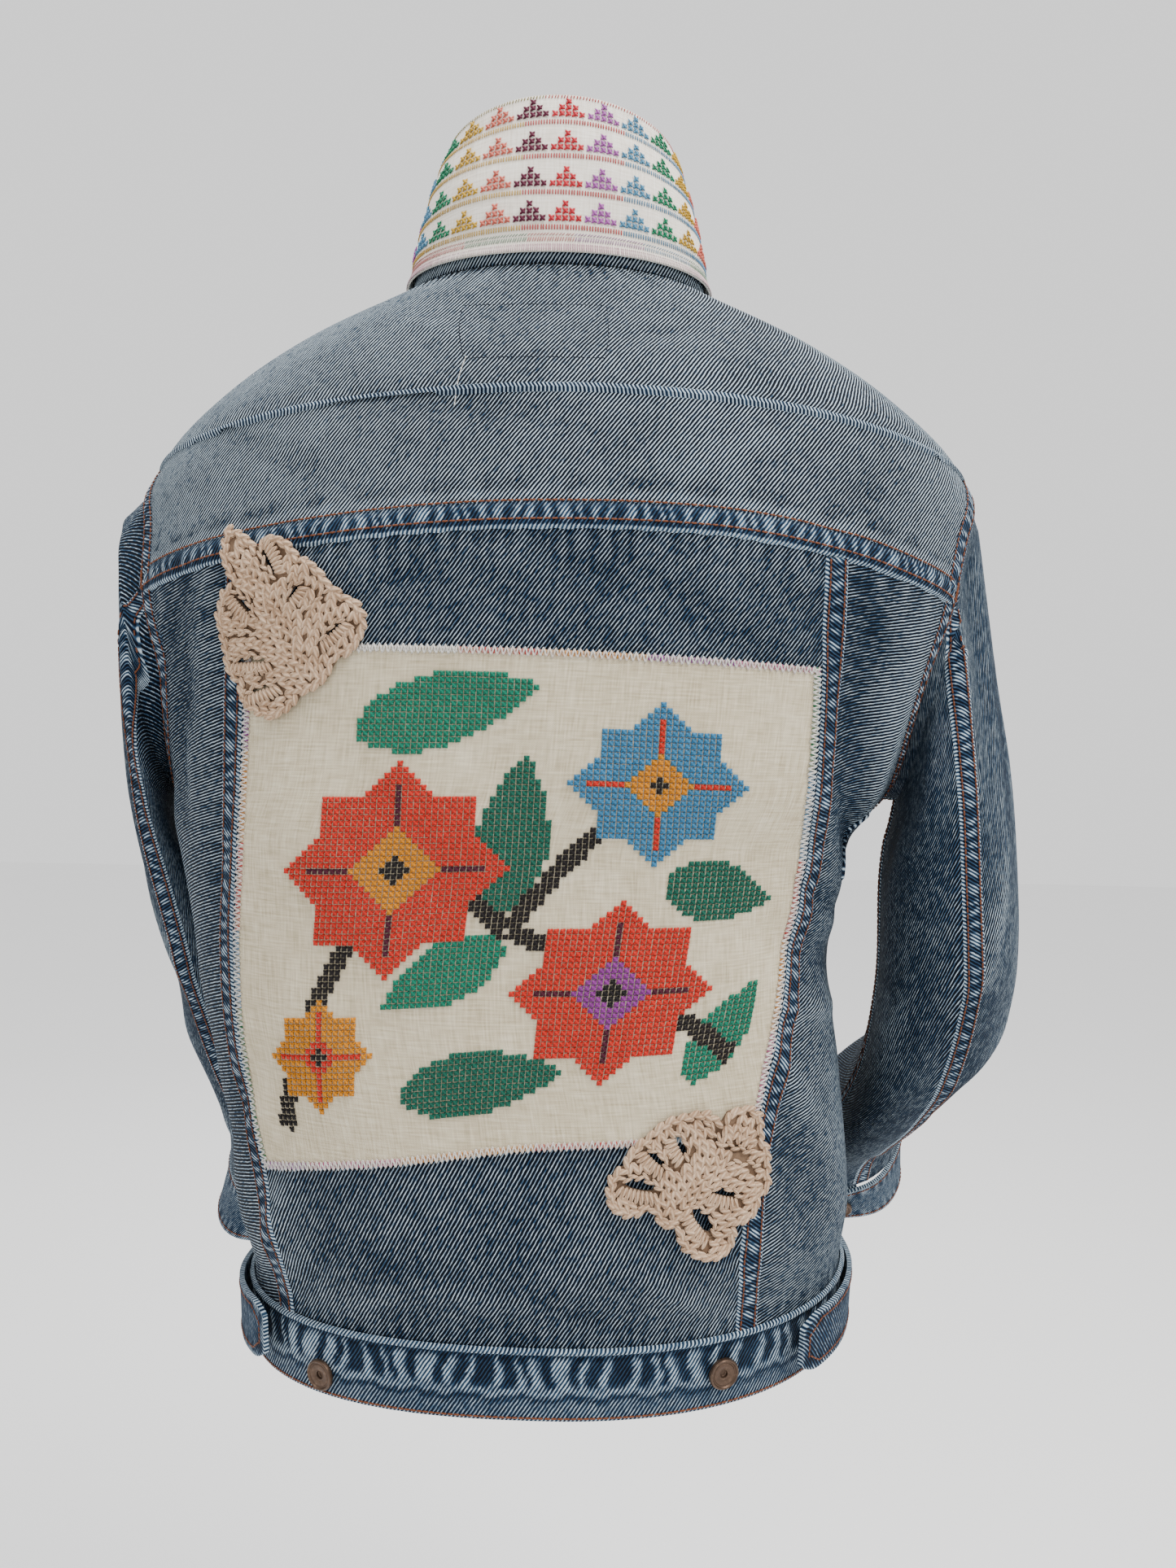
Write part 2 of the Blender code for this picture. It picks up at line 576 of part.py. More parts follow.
def front_yoke_grid(side):
    bottom = front_yoke_line(side)
    arm = armhole_points(side, FRONT_YOKE_PSI, SHOULDER_PSI, FRONT_ARM_COLUMNS)
    flank = joined(arm, shoulder_seam(side))
    edge = placket_line(side, "placket_x", front_yoke_rows())
    neck = np.linspace(flank[-1, 0], edge[-1, 0], len(bottom))
    top = np.stack([neck, np.full(len(bottom), NECK)], -1)
    return coons(bottom, top, flank, edge)


def front_rows():
    return np.linspace(BAND_TOP + REST_GAP, FRONT_YOKE_T, FRONT_ROWS + 1)


def front_yoke_rows():
    return np.linspace(FRONT_YOKE_T, NECK, FRONT_ARM_COLUMNS + SHOULDER_ROWS + 1)


def front_grid(side):
    arm = armhole_points(side, -180, FRONT_YOKE_PSI, LOWER_ARM_COLUMNS)
    if side > 0:
        arm[0, 0] = 0.0
    else:
        arm[0, 0] = math.pi
    top = joined(arm, front_yoke_line(side))
    low = BAND_TOP + REST_GAP
    edge = placket_line(side, "placket_x", front_rows())
    share = np.linspace(0, 1, FRONT_ROWS + 1)
    side_seam = np.stack([np.full(share.shape, top[0, 0]), low + (top[0, 1] - low) * share], -1)
    bottom = np.stack([np.linspace(top[0, 0], edge[0, 0], len(top)), np.full(len(top), low)], -1)
    return coons(bottom, top, side_seam, edge)


def build_body(parts, denim):
    back = back_grid()
    body_wall("back_panel", back, 0.0, -DENIM, ALL_EDGES, denim, parts)
    body_wall("back_yoke", back_yoke_grid(back), 0.0, -DENIM, ALL_EDGES, denim, parts)
    for side, name in ((1, "left"), (-1, "right")):
        body_wall(f"side_back_{name}", side_back_grid(side, back), 0.0, -DENIM, ALL_EDGES, denim, parts)
        body_wall(f"front_{name}", front_grid(side), 0.0, -DENIM, ALL_EDGES, denim, parts)
        body_wall(f"front_yoke_{name}", front_yoke_grid(side), 0.0, -DENIM, ALL_EDGES, denim, parts)
        t = joined(front_rows(), front_yoke_rows())
        share = np.linspace(0, 1, PLACKET_COLUMNS + 1)[None, :, None]
        inner_line = placket_line(side, "placket_x", t)[:, None]
        edge = placket_line(side, "edge_x", t)[:, None]
        strip = inner_line * (1 - share) + edge * share
        body_wall(
            f"placket_{name}", strip, DOUBLED - DENIM, -DENIM, ("left", "bottom", "top"), denim, parts
        )
    return back


def build_waistband(parts, denim):
    t = np.linspace(0, BAND_TOP - REST_GAP, BAND_ROWS + 1)
    shares = np.linspace(0, 1, BAND_COLUMNS + 1)
    left = front_angle(1, "edge_x", t)
    right = front_angle(-1, "edge_x", t)
    theta = left[:, None] * (1 - shares) + right[:, None] * shares
    grid = np.stack([theta, np.broadcast_to(t[:, None], theta.shape)], -1)
    body_wall("waistband", grid, DOUBLED - DENIM / 2, -DENIM / 2, (), denim, parts)


SLEEVE_ROWS = (0, 0.1, 0.3, 0.65, 1, 1.5, 2, 2.75, 3.5, 4.25, 5, 5.5, 6, 6.5, 7, 7.75, 8.4, CUFF_START)


def build_sleeves(parts, denim):
    rows = np.array(SLEEVE_ROWS)
    spans = {
        "under": degrees_between(YOKE_PSI, 180, BACK_ARM_COLUMNS),
        "upper": joined(
            degrees_between(-180, FRONT_YOKE_PSI, LOWER_ARM_COLUMNS),
            degrees_between(FRONT_YOKE_PSI, SHOULDER_PSI, FRONT_ARM_COLUMNS),
            degrees_between(SHOULDER_PSI, YOKE_PSI, UPPER_ARM_COLUMNS),
        ),
    }
    for name in SLEEVES:
        surface = sleeve_surface(name)
        for span, psi in spans.items():
            outer, inner = drawn_in(
                surface(psi[None, :], rows[:, None]),
                surface(psi[None, :], rows[:, None], -DENIM),
                ALL_EDGES,
            )
            wall(f"sleeve_{name}_{span}", outer, inner, denim, parts)
        build_cuff(name, surface, parts, denim)


CUFF_OVERLAP_END = 112
CUFF_OVERLAP = 26
CUFF_FLAT_DEGREES = 8
CUFF_RISE_DEGREES = 45
CUFF_OUT = 0.0008
CUFF_GAP = 0.02
CUFF_COLUMNS = 26


def cuff_out(psi_degrees):
    """The cuff's free end rises onto the end below it."""
    start = CUFF_OVERLAP_END - CUFF_OVERLAP - CUFF_FLAT_DEGREES - CUFF_RISE_DEGREES
    return CUFF_OUT + (DOUBLED + REST_GAP) * smooth((psi_degrees - start) / CUFF_RISE_DEGREES)


def build_cuff(name, surface, parts, denim):
    start = CUFF_OVERLAP_END - 360 - CUFF_OVERLAP
    degrees = np.linspace(start, CUFF_OVERLAP_END, CUFF_COLUMNS + 1)
    q = np.array([CUFF_START + CUFF_GAP, (CUFF_START + CUFF_END) / 2, CUFF_END])
    psi = np.radians(degrees)[None, :]
    out = cuff_out(degrees)[None, :]
    outer = surface(psi, q[:, None], out)
    inner = surface(psi, q[:, None], out - DOUBLED)
    wall(f"cuff_{name}", outer, inner, denim, parts)


COLLAR_END_INSET = 0.02
COLLAR_COLUMNS = 32
COLLAR_ROWS = (0, PATCH_LOW_V, 0.13, 0.33, 0.55, 0.78, PATCH_HIGH_V, 1.0)
# The linen's lower edge is serged thick and stands off the collar, over this share of its height.
ROLL_STAND_OFF = 0.0014
ROLL_THICKNESS = 0.0010
ROLL_HEIGHT = 0.05


def build_collar(parts, denim, linen):
    left, right = (front_angle(side, "edge_x", np.array([NECK]))[0] for side in (1, -1))
    ends = left + COLLAR_END_INSET, right - COLLAR_END_INSET
    theta = np.linspace(*ends, COLLAR_COLUMNS + 1)[None, :]
    v = np.array(COLLAR_ROWS)[:, None]
    outer = collar_surface(theta, v, np.zeros(v.shape))
    inner = collar_surface(theta, v, np.full(v.shape, -DOUBLED))
    wall("collar", outer, inner, denim, parts)
    v = v[1:-1]
    roll = np.exp(-(((v - PATCH_LOW_V) / ROLL_HEIGHT) ** 2))
    stand_off = REST_GAP + ROLL_STAND_OFF * roll
    thick = LINEN + ROLL_THICKNESS * roll
    outer = collar_surface(theta[:, 1:-1], v, stand_off + thick)
    inner = collar_surface(theta[:, 1:-1], v, stand_off)
    wall("collar_patch", outer, inner, linen, parts)


def build_back_patch(back, parts, linen):
    rows = slice(BACK_ROWS_BELOW, BACK_ROWS_BELOW + BACK_ROWS_BEHIND + 1)
    grid = back[rows, 1:-1]
    body_wall("back_patch", grid, REST_GAP + LINEN, REST_GAP, (), linen, parts)


# A crochet leaf is drawn flat round its own middle, which lies at x and t on the back: its lobed
# outline and the slits cut through it, in millimetres across and up. A slit's turn is in degrees.
Slit = namedtuple("Slit", "x t length width turn")
Leaf = namedtuple("Leaf", "x t outline slits")
LEAVES = {
    "leaf_upper": Leaf(
        0.1075,
        0.3692,
        (
            *((31.1, 46.9), (23.7, 43.9), (18.2, 38.9), (14.9, 34.9), (12.4, 39.6), (7.0, 40.2)),
            *((0.2, 36.5), (-3.8, 31.5), (-6.2, 28.5), (-9.7, 27.8), (-15.5, 22.4), (-19.4, 16.3)),
            *((-21.9, 14.4), (-27.6, 9.5), (-32.6, 7.0), (-36.4, 0.7), (-36.5, -6.1), (-33.4, -12.8)),
            *((-29.1, -17.5), (-23.4, -19.5), (-21.5, -22.9), (-19.0, -27.9), (-15.2, -31.9)),
            *((-10.0, -34.6), (-5.8, -35.7), (-3.4, -40.0), (1.3, -43.8), (8.8, -46.8), (15.8, -44.5)),
            *((21.9, -40.2), (25.2, -35.2), (25.4, -30.2), (29.5, -26.5), (32.4, -21.3), (32.7, -14.7)),
            *((34.3, -7.9), (35.6, -0.4), (36.6, 3.5), (35.4, 9.3), (33.8, 15.1), (28.5, 19.6)),
            *((31.6, 26.1), (33.9, 33.1), (33.5, 40.7)),
        ),
        (
            Slit(10.0, 27.7, 12.7, 2.0, 64),
            Slit(21.7, 9.2, 13.2, 2.8, 51),
            Slit(-2.7, 12.9, 7.3, 2.0, 127),
            Slit(-21.1, -5.9, 14.5, 1.3, 138),
            Slit(18.6, -18.4, 17.1, 2.5, 1),
            Slit(13.8, -32.3, 14.8, 1.3, 162),
        ),
    ),
    "leaf_lower": Leaf(
        -0.0763,
        0.1113,
        (
            *((-27.5, 33.6), (-33.0, 29.4), (-33.9, 23.4), (-33.9, 18.1), (-37.1, 12.6), (-37.8, 7.0)),
            *((-37.6, 1.1), (-38.0, -5.0), (-35.0, -8.5), (-32.7, -11.0), (-31.8, -15.0)),
            *((-28.5, -18.6), (-23.6, -20.6), (-21.8, -22.3), (-22.1, -26.3), (-20.7, -31.5)),
            *((-15.9, -34.5), (-9.5, -35.0), (-3.2, -33.0), (3.2, -28.1), (6.0, -22.1), (6.5, -17.1)),
            *((9.8, -17.7), (14.3, -15.2), (16.9, -10.3), (18.6, -8.6), (22.6, -10.7), (28.1, -11.5)),
            *((33.0, -9.5), (36.7, -5.9), (38.0, 0.0), (36.9, 7.0), (33.4, 11.0), (30.6, 12.4)),
            *((29.6, 17.3), (25.1, 22.4), (19.3, 26.5), (16.7, 29.4), (10.6, 32.8), (4.5, 34.0)),
            *((-1.8, 34.9), (-6.8, 34.5), (-11.7, 30.8), (-14.6, 29.3), (-17.3, 33.4), (-22.3, 34.4)),
        ),
        (
            Slit(22.9, 3.6, 15.3, 5.2, 15),
            Slit(15.8, 15.3, 10.8, 2.8, 46),
            Slit(4.7, 20.1, 10.3, 2.6, 66),
            Slit(-15.3, -3.9, 12.5, 2.8, 21),
            Slit(-6.6, -15.4, 14.4, 5.9, 55),
        ),
    ),
}
LEAF_REST = 0.0006
LEAF_BENDS = 2
SLIT_POINTS = 8
MILLIMETRE = 0.001


def slit_outline(slit):
    turn = math.radians(slit.turn)
    points = []
    for i in range(SLIT_POINTS):
        a = 2 * math.pi * i / SLIT_POINTS
        along, across = slit.length / 2 * math.cos(a), slit.width / 2 * math.sin(a)
        x = slit.x + along * math.cos(turn) - across * math.sin(turn)
        t = slit.t + along * math.sin(turn) + across * math.cos(turn)
        points.append((x, t))
    return points


def flat_plate(name, outlines, thickness):
    """A flat plate with holes, as one clean mesh, from outlines in millimetres."""
    data = bpy.data.curves.new(name, "CURVE")
    data.dimensions = "2D"
    data.fill_mode = "BOTH"
    data.extrude = thickness / 2
    for outline in outlines:
        spline = data.splines.new("POLY")
        spline.points.add(len(outline) - 1)
        for point, (x, y) in zip(spline.points, outline):
            point.co = (x * MILLIMETRE, y * MILLIMETRE, 0, 1)
        spline.use_cyclic_u = True
    drawn = bpy.data.objects.new(name + "_outline", data)
    bpy.context.scene.collection.objects.link(drawn)
    graph = bpy.context.evaluated_depsgraph_get()
    mesh = bpy.data.meshes.new_from_object(drawn.evaluated_get(graph))
    mesh.name = name
    bpy.data.objects.remove(drawn)
    return mesh


def build_leaf(name, leaf, parts, yarn):
    outlines = [leaf.outline] + [slit_outline(slit) for slit in leaf.slits]
    mesh = flat_plate(name, outlines, CROCHET)
    mesh.materials.clear()
    bm = bmesh.new()
    bm.from_mesh(mesh)
    bmesh.ops.remove_doubles(bm, verts=bm.verts, dist=MERGE_DISTANCE)
    reach = max(abs(c) for point in leaf.outline for c in point) * MILLIMETRE
    for axis in (Vector((1, 0, 0)), Vector((0, 1, 0))):
        for i in range(-LEAF_BENDS, LEAF_BENDS + 1):
            at = axis * (reach * i / (LEAF_BENDS + 1))
            geometry = bm.verts[:] + bm.edges[:] + bm.faces[:]
            bmesh.ops.bisect_plane(bm, geom=geometry, dist=MERGE_DISTANCE / 10, plane_co=at, plane_no=axis)
    bmesh.ops.triangulate(bm, faces=bm.faces)
    flat = np.array([v.co for v in bm.verts])
    x, t = leaf.x + flat[:, 0], leaf.t + flat[:, 1]
    out = REST_GAP + LINEN + LEAF_REST + CROCHET / 2 + flat[:, 2]
    placed = torso(angle_at(x, t), t, out)
    for vertex, point in zip(bm.verts, placed):
        vertex.co = point
    bm.to_mesh(mesh)
    bm.free()
    finish(name, mesh, yarn, parts)


# The waistband's adjusting tabs hang unbuttoned: each leaves the band at the side and stands off it.
TAB_START_DEGREES = -10
TAB_END_DEGREES = {"left": 41, "right": 44}
TAB_RISE = {"left": 0.0090, "right": 0.0060}
TAB_LOW = 0.0020
TAB_HIGH = 0.0310
TAB_CLEAR = 0.0005
TAB_STAND_OFF = 0.0080
TAB_CURL = 1.6
TAB_ROWS = 2
TAB_COLUMNS = 12


def build_tabs(parts, denim):
    band_out = DOUBLED - DENIM / 2
    for side, name in ((1, "left"), (-1, "right")):
        share = np.linspace(0, 1, TAB_COLUMNS + 1)[None, :]
        degrees = TAB_START_DEGREES + (TAB_END_DEGREES[name] - TAB_START_DEGREES) * share
        theta = np.radians(degrees if side > 0 else 180 - degrees)
        t = np.linspace(TAB_LOW, TAB_HIGH, TAB_ROWS + 1)[:, None] + TAB_RISE[name] * share
        out = band_out + TAB_CLEAR + TAB_STAND_OFF * share**TAB_CURL + np.zeros(t.shape)
        theta = np.broadcast_to(theta, t.shape)
        wall(f"tab_{name}", torso(theta, t, out + DOUBLED), torso(theta, t, out), denim, parts)


# A button's section from its middle to its back, as shares of its radius and its height.
BUTTON_RADIUS = 0.0076
BUTTON_HEIGHT = 0.0030
BUTTON_SECTION = (
    (0, 0.45),
    (0.26, 0.45),
    (0.38, 0.92),
    (0.80, 1),
    (0.97, 0.78),
    (1, 0.35),
    (0.90, 0),
    (0, 0),
)
BUTTON_SIDES = 12
BUTTON_CLEAR = 0.0006


def button_mesh():
    """A round button with a raised rim and a dished middle, turned about its own Z."""
    bm = bmesh.new()
    ring = [bm.verts.new((x * BUTTON_RADIUS, 0, z * BUTTON_HEIGHT)) for x, z in BUTTON_SECTION]
    edges = [bm.edges.new(pair) for pair in zip(ring, ring[1:])]
    bmesh.ops.spin(
        bm,
        geom=ring + edges,
        cent=(0, 0, 0),
        axis=(0, 0, 1),
        angle=2 * math.pi,
        steps=BUTTON_SIDES,
        use_merge=True,
    )
    bmesh.ops.remove_doubles(bm, verts=bm.verts, dist=MERGE_DISTANCE)
    mesh = bpy.data.meshes.new("button")
    bm.to_mesh(mesh)
    bm.free()
    return mesh


def place_button(name, point, normal, lift, material, parts):
    obj = finish(name, button_mesh(), material, parts)
    obj.location = Vector(point) + Vector(normal) * lift
    obj.rotation_mode = "QUATERNION"
    obj.rotation_quaternion = Vector(normal).to_track_quat("Z", "Y")


# Angle round the body and height of each button on the back of the waistband.
BAND_BUTTONS = {"left": (52.0, 0.0105), "right": (122.0, 0.0170)}
FRONT_BUTTON_T = (0.020, 0.118, 0.214, 0.310, 0.406, 0.502)
CUFF_BUTTON_PSI = 98


def build_buttons(parts, bronze):
    for name, (degrees, t) in BAND_BUTTONS.items():
        theta = math.radians(degrees)
        lift = DOUBLED - DENIM / 2 + BUTTON_CLEAR
        place_button(
            f"band_button_{name}", torso(theta, t), torso_normal(theta, t), lift, bronze, parts
        )
    for i, t in enumerate(FRONT_BUTTON_T):
        middle = (FRONT["edge_x"](t) + FRONT["placket_x"](t)) / 2
        theta = angle_at(middle, np.array(t), back=False)
        lift = (DOUBLED - DENIM / 2 if t < BAND_TOP else DOUBLED - DENIM) + BUTTON_CLEAR
        point, normal = torso(theta, t), torso_normal(theta, t)
        place_button(f"front_button_{i + 1}", point, normal, lift, bronze, parts)
    for name in SLEEVES:
        surface = sleeve_surface(name)
        psi, q = math.radians(CUFF_BUTTON_PSI), (CUFF_START + CUFF_END) / 2
        out = float(cuff_out(CUFF_BUTTON_PSI))
        point = surface(psi, q, out)
        normal = unit(surface(psi, q, out + 0.001) - point)
        place_button(f"cuff_button_{name}", point, normal, BUTTON_CLEAR, bronze, parts)


def main():
    for obj in list(bpy.data.objects):
        bpy.data.objects.remove(obj)
    parts = bpy.data.collections.new("denim_jacket")
    bpy.context.scene.collection.children.link(parts)
    denim = material_for("denim", DENIM_BLUE, 0.85)
    linen = material_for("linen", LINEN_WHITE, 0.90)
    yarn = material_for("yarn", YARN_TAN, 0.95)
    bronze = material_for("bronze", BRONZE, 0.45, 0.8)
    back = build_body(parts, denim)
    build_waistband(parts, denim)
    build_sleeves(parts, denim)
    build_collar(parts, denim, linen)
    build_back_patch(back, parts, linen)
    for name, leaf in LEAVES.items():
        build_leaf(name, leaf, parts, yarn)
    build_tabs(parts, denim)
    build_buttons(parts, bronze)


main()
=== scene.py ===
import json
import math

import bmesh
import bpy
import numpy as np
from mathutils import Matrix, Vector
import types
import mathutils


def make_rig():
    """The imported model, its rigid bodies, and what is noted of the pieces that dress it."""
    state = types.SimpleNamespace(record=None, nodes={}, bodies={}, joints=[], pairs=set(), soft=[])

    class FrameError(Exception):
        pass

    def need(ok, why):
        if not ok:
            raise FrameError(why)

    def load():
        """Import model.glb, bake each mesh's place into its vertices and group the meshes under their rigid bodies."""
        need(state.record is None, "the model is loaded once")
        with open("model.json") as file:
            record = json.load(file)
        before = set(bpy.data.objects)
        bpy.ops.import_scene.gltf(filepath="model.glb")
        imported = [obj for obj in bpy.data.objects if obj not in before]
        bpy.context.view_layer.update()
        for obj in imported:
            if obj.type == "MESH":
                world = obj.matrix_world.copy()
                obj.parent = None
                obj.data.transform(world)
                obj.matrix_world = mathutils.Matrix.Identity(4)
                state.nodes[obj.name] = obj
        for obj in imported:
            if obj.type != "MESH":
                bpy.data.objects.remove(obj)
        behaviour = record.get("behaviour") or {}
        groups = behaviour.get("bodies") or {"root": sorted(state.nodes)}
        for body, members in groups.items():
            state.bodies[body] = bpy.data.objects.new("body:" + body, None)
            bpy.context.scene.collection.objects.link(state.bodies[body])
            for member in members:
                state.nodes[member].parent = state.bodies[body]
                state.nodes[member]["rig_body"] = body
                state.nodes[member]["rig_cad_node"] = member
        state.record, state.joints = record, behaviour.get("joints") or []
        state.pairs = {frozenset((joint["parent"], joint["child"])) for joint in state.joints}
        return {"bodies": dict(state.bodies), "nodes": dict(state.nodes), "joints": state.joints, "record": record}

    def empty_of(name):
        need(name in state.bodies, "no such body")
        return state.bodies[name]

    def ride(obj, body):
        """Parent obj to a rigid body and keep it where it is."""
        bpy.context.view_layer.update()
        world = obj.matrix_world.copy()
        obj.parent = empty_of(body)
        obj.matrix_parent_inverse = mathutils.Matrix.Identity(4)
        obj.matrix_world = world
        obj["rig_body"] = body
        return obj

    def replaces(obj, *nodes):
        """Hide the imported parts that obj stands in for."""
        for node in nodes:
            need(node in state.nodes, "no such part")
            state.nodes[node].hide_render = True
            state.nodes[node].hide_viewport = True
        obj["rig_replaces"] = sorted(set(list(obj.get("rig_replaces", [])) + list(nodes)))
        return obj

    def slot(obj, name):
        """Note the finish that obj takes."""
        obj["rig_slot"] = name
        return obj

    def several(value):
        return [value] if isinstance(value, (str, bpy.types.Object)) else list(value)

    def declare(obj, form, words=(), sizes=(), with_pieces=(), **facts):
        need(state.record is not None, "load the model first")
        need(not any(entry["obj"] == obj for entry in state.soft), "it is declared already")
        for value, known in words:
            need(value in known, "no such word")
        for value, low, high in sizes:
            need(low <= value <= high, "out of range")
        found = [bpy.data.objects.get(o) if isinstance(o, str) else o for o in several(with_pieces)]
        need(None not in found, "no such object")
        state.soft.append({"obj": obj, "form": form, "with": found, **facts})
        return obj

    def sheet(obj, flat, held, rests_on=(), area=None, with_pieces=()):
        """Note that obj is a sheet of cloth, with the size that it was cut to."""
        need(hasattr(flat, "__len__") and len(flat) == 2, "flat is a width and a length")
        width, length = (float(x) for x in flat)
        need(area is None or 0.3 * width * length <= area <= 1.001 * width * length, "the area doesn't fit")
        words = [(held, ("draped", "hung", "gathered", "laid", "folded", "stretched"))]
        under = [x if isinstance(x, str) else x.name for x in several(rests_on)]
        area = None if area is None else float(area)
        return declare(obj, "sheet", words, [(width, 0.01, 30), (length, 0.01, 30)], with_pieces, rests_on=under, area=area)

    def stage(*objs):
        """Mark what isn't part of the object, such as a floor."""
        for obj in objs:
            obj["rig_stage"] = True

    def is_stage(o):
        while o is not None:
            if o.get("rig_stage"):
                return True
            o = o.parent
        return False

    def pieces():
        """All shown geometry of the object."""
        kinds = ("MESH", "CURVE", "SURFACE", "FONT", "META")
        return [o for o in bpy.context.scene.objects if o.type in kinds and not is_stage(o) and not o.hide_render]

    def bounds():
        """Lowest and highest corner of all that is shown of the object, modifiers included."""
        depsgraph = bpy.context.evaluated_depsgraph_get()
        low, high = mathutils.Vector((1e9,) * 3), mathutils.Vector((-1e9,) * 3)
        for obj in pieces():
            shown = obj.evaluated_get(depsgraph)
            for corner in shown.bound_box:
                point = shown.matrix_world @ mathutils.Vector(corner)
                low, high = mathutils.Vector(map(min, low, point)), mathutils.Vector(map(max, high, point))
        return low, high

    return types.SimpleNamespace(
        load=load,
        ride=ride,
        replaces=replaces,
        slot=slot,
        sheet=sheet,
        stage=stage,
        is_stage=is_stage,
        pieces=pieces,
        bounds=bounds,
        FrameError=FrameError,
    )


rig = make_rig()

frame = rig.load()
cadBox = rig.bounds()
print("frame loaded:", len(frame["nodes"]), "nodes")

# Metres throughout: +Z up, front at -Y, the wearer's left at +X.
millimetre = 0.001
cloth = {"denim": 0.0015, "doubled": 0.0025, "linen": 0.0010, "yarn": 0.0034, "gap": 0.0003}
bandTop, neckT = 0.0330, 0.5700

# Body sections in millimetres, apart from square: t up the back, half width, back, front, z back,
# z side, z front, shift, square, drop
bodyRings = np.array([
    (0, 158, 119, 135, -552, -546, -546, -7, 2.3, 14),
    (40, 160, 120, 137, -512, -507, -507, -7, 2.3, 12),
    (72, 166, 127, 141, -480, -477, -477, -4, 2.3, 7),
    (142, 168, 126, 139, -410, -408, -408, 5, 2.3, 1),
    (192, 170, 126, 137, -360, -358, -358, 13, 2.3, 0),
    (262, 181, 127, 132, -290, -290, -290, 14, 2.3, 0),
    (295, 191, 128, 131, -257, -260, -258, 6, 2.3, 0),
    (345, 203, 128, 127, -207, -213, -209, 1, 2.3, 0),
    (400, 219, 127, 118, -153, -168, -162, -3, 2.3, 0),
    (445, 221, 118, 106, -110, -130, -128, -6, 2.2, 0),
    (480, 210, 107, 98, -78, -98, -106, -7, 2.2, 0), (505, 180, 96, 93, -57, -66, -93, -6, 2.2, 0),
    (535, 138, 81, 88, -35, -36, -80, -5, 2.2, 0), (570, 78, 62, 82, -7.5, -7, -64, -4, 2.1, 0),
])
ringNames = "halfWidth back front zBack zSide zFront shift square drop".split()
longSeams = np.array([  # t, x of the left seam, x of the right seam
    (0.040, 0.119, -0.107), (0.100, 0.130, -0.109), (0.150, 0.144, -0.119), (0.210, 0.147, -0.130),
    (0.265, 0.143, -0.137), (0.340, 0.139, -0.139), (0.405, 0.136, -0.138),
])
yokeSeam = np.array([
    (27, 0.393), (50, 0.4005), (90, 0.4085), (110, 0.4095), (125, 0.4060), (140, 0.3990), (153, 0.3930),
])
patchLow = np.array([(40, 0.104), (65, 0.117), (98, 0.131), (140, 0.133)])
patchHigh = np.array([(40, 0.360), (70, 0.3561), (95, 0.3541), (140, 0.3510)])
frontLines = np.array([  # t, x of the front edge, x of the placket's inner line
    (0.000, 0.043, 0.077), (0.200, 0.040, 0.074), (0.400, 0.037, 0.070), (0.500, 0.034, 0.064),
    (0.570, 0.031, 0.056),
])
frontYokeT = 0.404
armholeShape = {"t": 0.380, "halfT": 0.093, "back": 27, "front": 30, "wider": 3}
yokePsi, shoulderPsi, frontYokePsi, shoulderNeck = 82, -12, -75, -12

# Sleeve sections in millimetres: x, y, z, out x, out z, back x, back y, back z
sleeveRings = {
    "right": np.array([
        (212, 0, -196, 19, 72, -10, 56, 0), (216.5, 0, -240, 26, 42, -11, 64, 0),
        (219.5, 0, -272.5, 32, 22.5, -12, 67, 0), (222, 0, -315, 36, 5, -12, 67, 0),
        (225, -2, -358, 38, 1, -12, 62, -6), (221.5, -14, -396, 37, 12, -10, 50, -24),
        (212, -48, -434, 36, 22, -8, 26, -34), (201, -88, -464, 36, 20, -4, 22, -34),
        (195, -122, -494, 37, 12, 0, 28, -30), (197, -150, -530, 40, 4, 2, 40, -18),
    ]),
    "left": np.array([
        (216.5, 0, -196, 13, 72, -10, 56, 0), (218, -4, -240, 13.5, 42, -14, 62, 0),
        (218, -14, -272.5, 14.5, 22.5, -14, 60, 0), (213, -34, -318, 18, 4, -12, 58, 0),
        (206, -54, -362, 22, 0, -10, 55, -8), (199, -76, -408, 25, 0, -8, 48, -20),
        (189, -100, -448, 28, 0, -6, 42, -28), (184, -124, -486, 30, 0, -4, 40, -28),
        (185, -145, -522, 34, 0, -2, 42, -20), (193, -160, -566, 38, 0, 0, 46, -12),
    ]),
}
cuffStart, cuffEnd = 9, 10
# The cuff's first and last degrees round, its overlap's start and run, and the sections of its two rows
cuffShape = {"round": (-274, 112), "lap": 33, "lapRun": 45, "clear": 0.0008, "rows": (9.10, 9.92)}

# Large folds of the body, in millimetres and degrees: x, t, back side, half length, half width, lean, depth
bodyFolds = (
    (-152, 325, 1, 60, 11, 8, -5), (-176, 350, 1, 45, 12, -14, 5), (-120, 385, 1, 30, 10, 40, -2.2),
    (-80, 372, 1, 40, 10, 58, -1.8), (172, 330, 1, 50, 10, -6, -4), (158, 352, 1, 40, 10, -4, 2.5),
    (-146, 205, 1, 40, 12, 62, -3.5), (-135, 100, 1, 45, 12, 20, -3), (150, 120, 1, 40, 10, -30, -2.8),
    (40, 70, 1, 40, 10, 80, -1.5), (-150, 330, 0, 55, 12, 12, -4.5), (152, 322, 0, 50, 12, -10, -4.2),
    (-120, 190, 0, 60, 14, 30, -3.2), (118, 205, 0, 55, 14, -26, -3.5),
    (-100, 95, 0, 45, 13, 10, -2.5), (104, 90, 0, 40, 13, -14, -2.7),
)

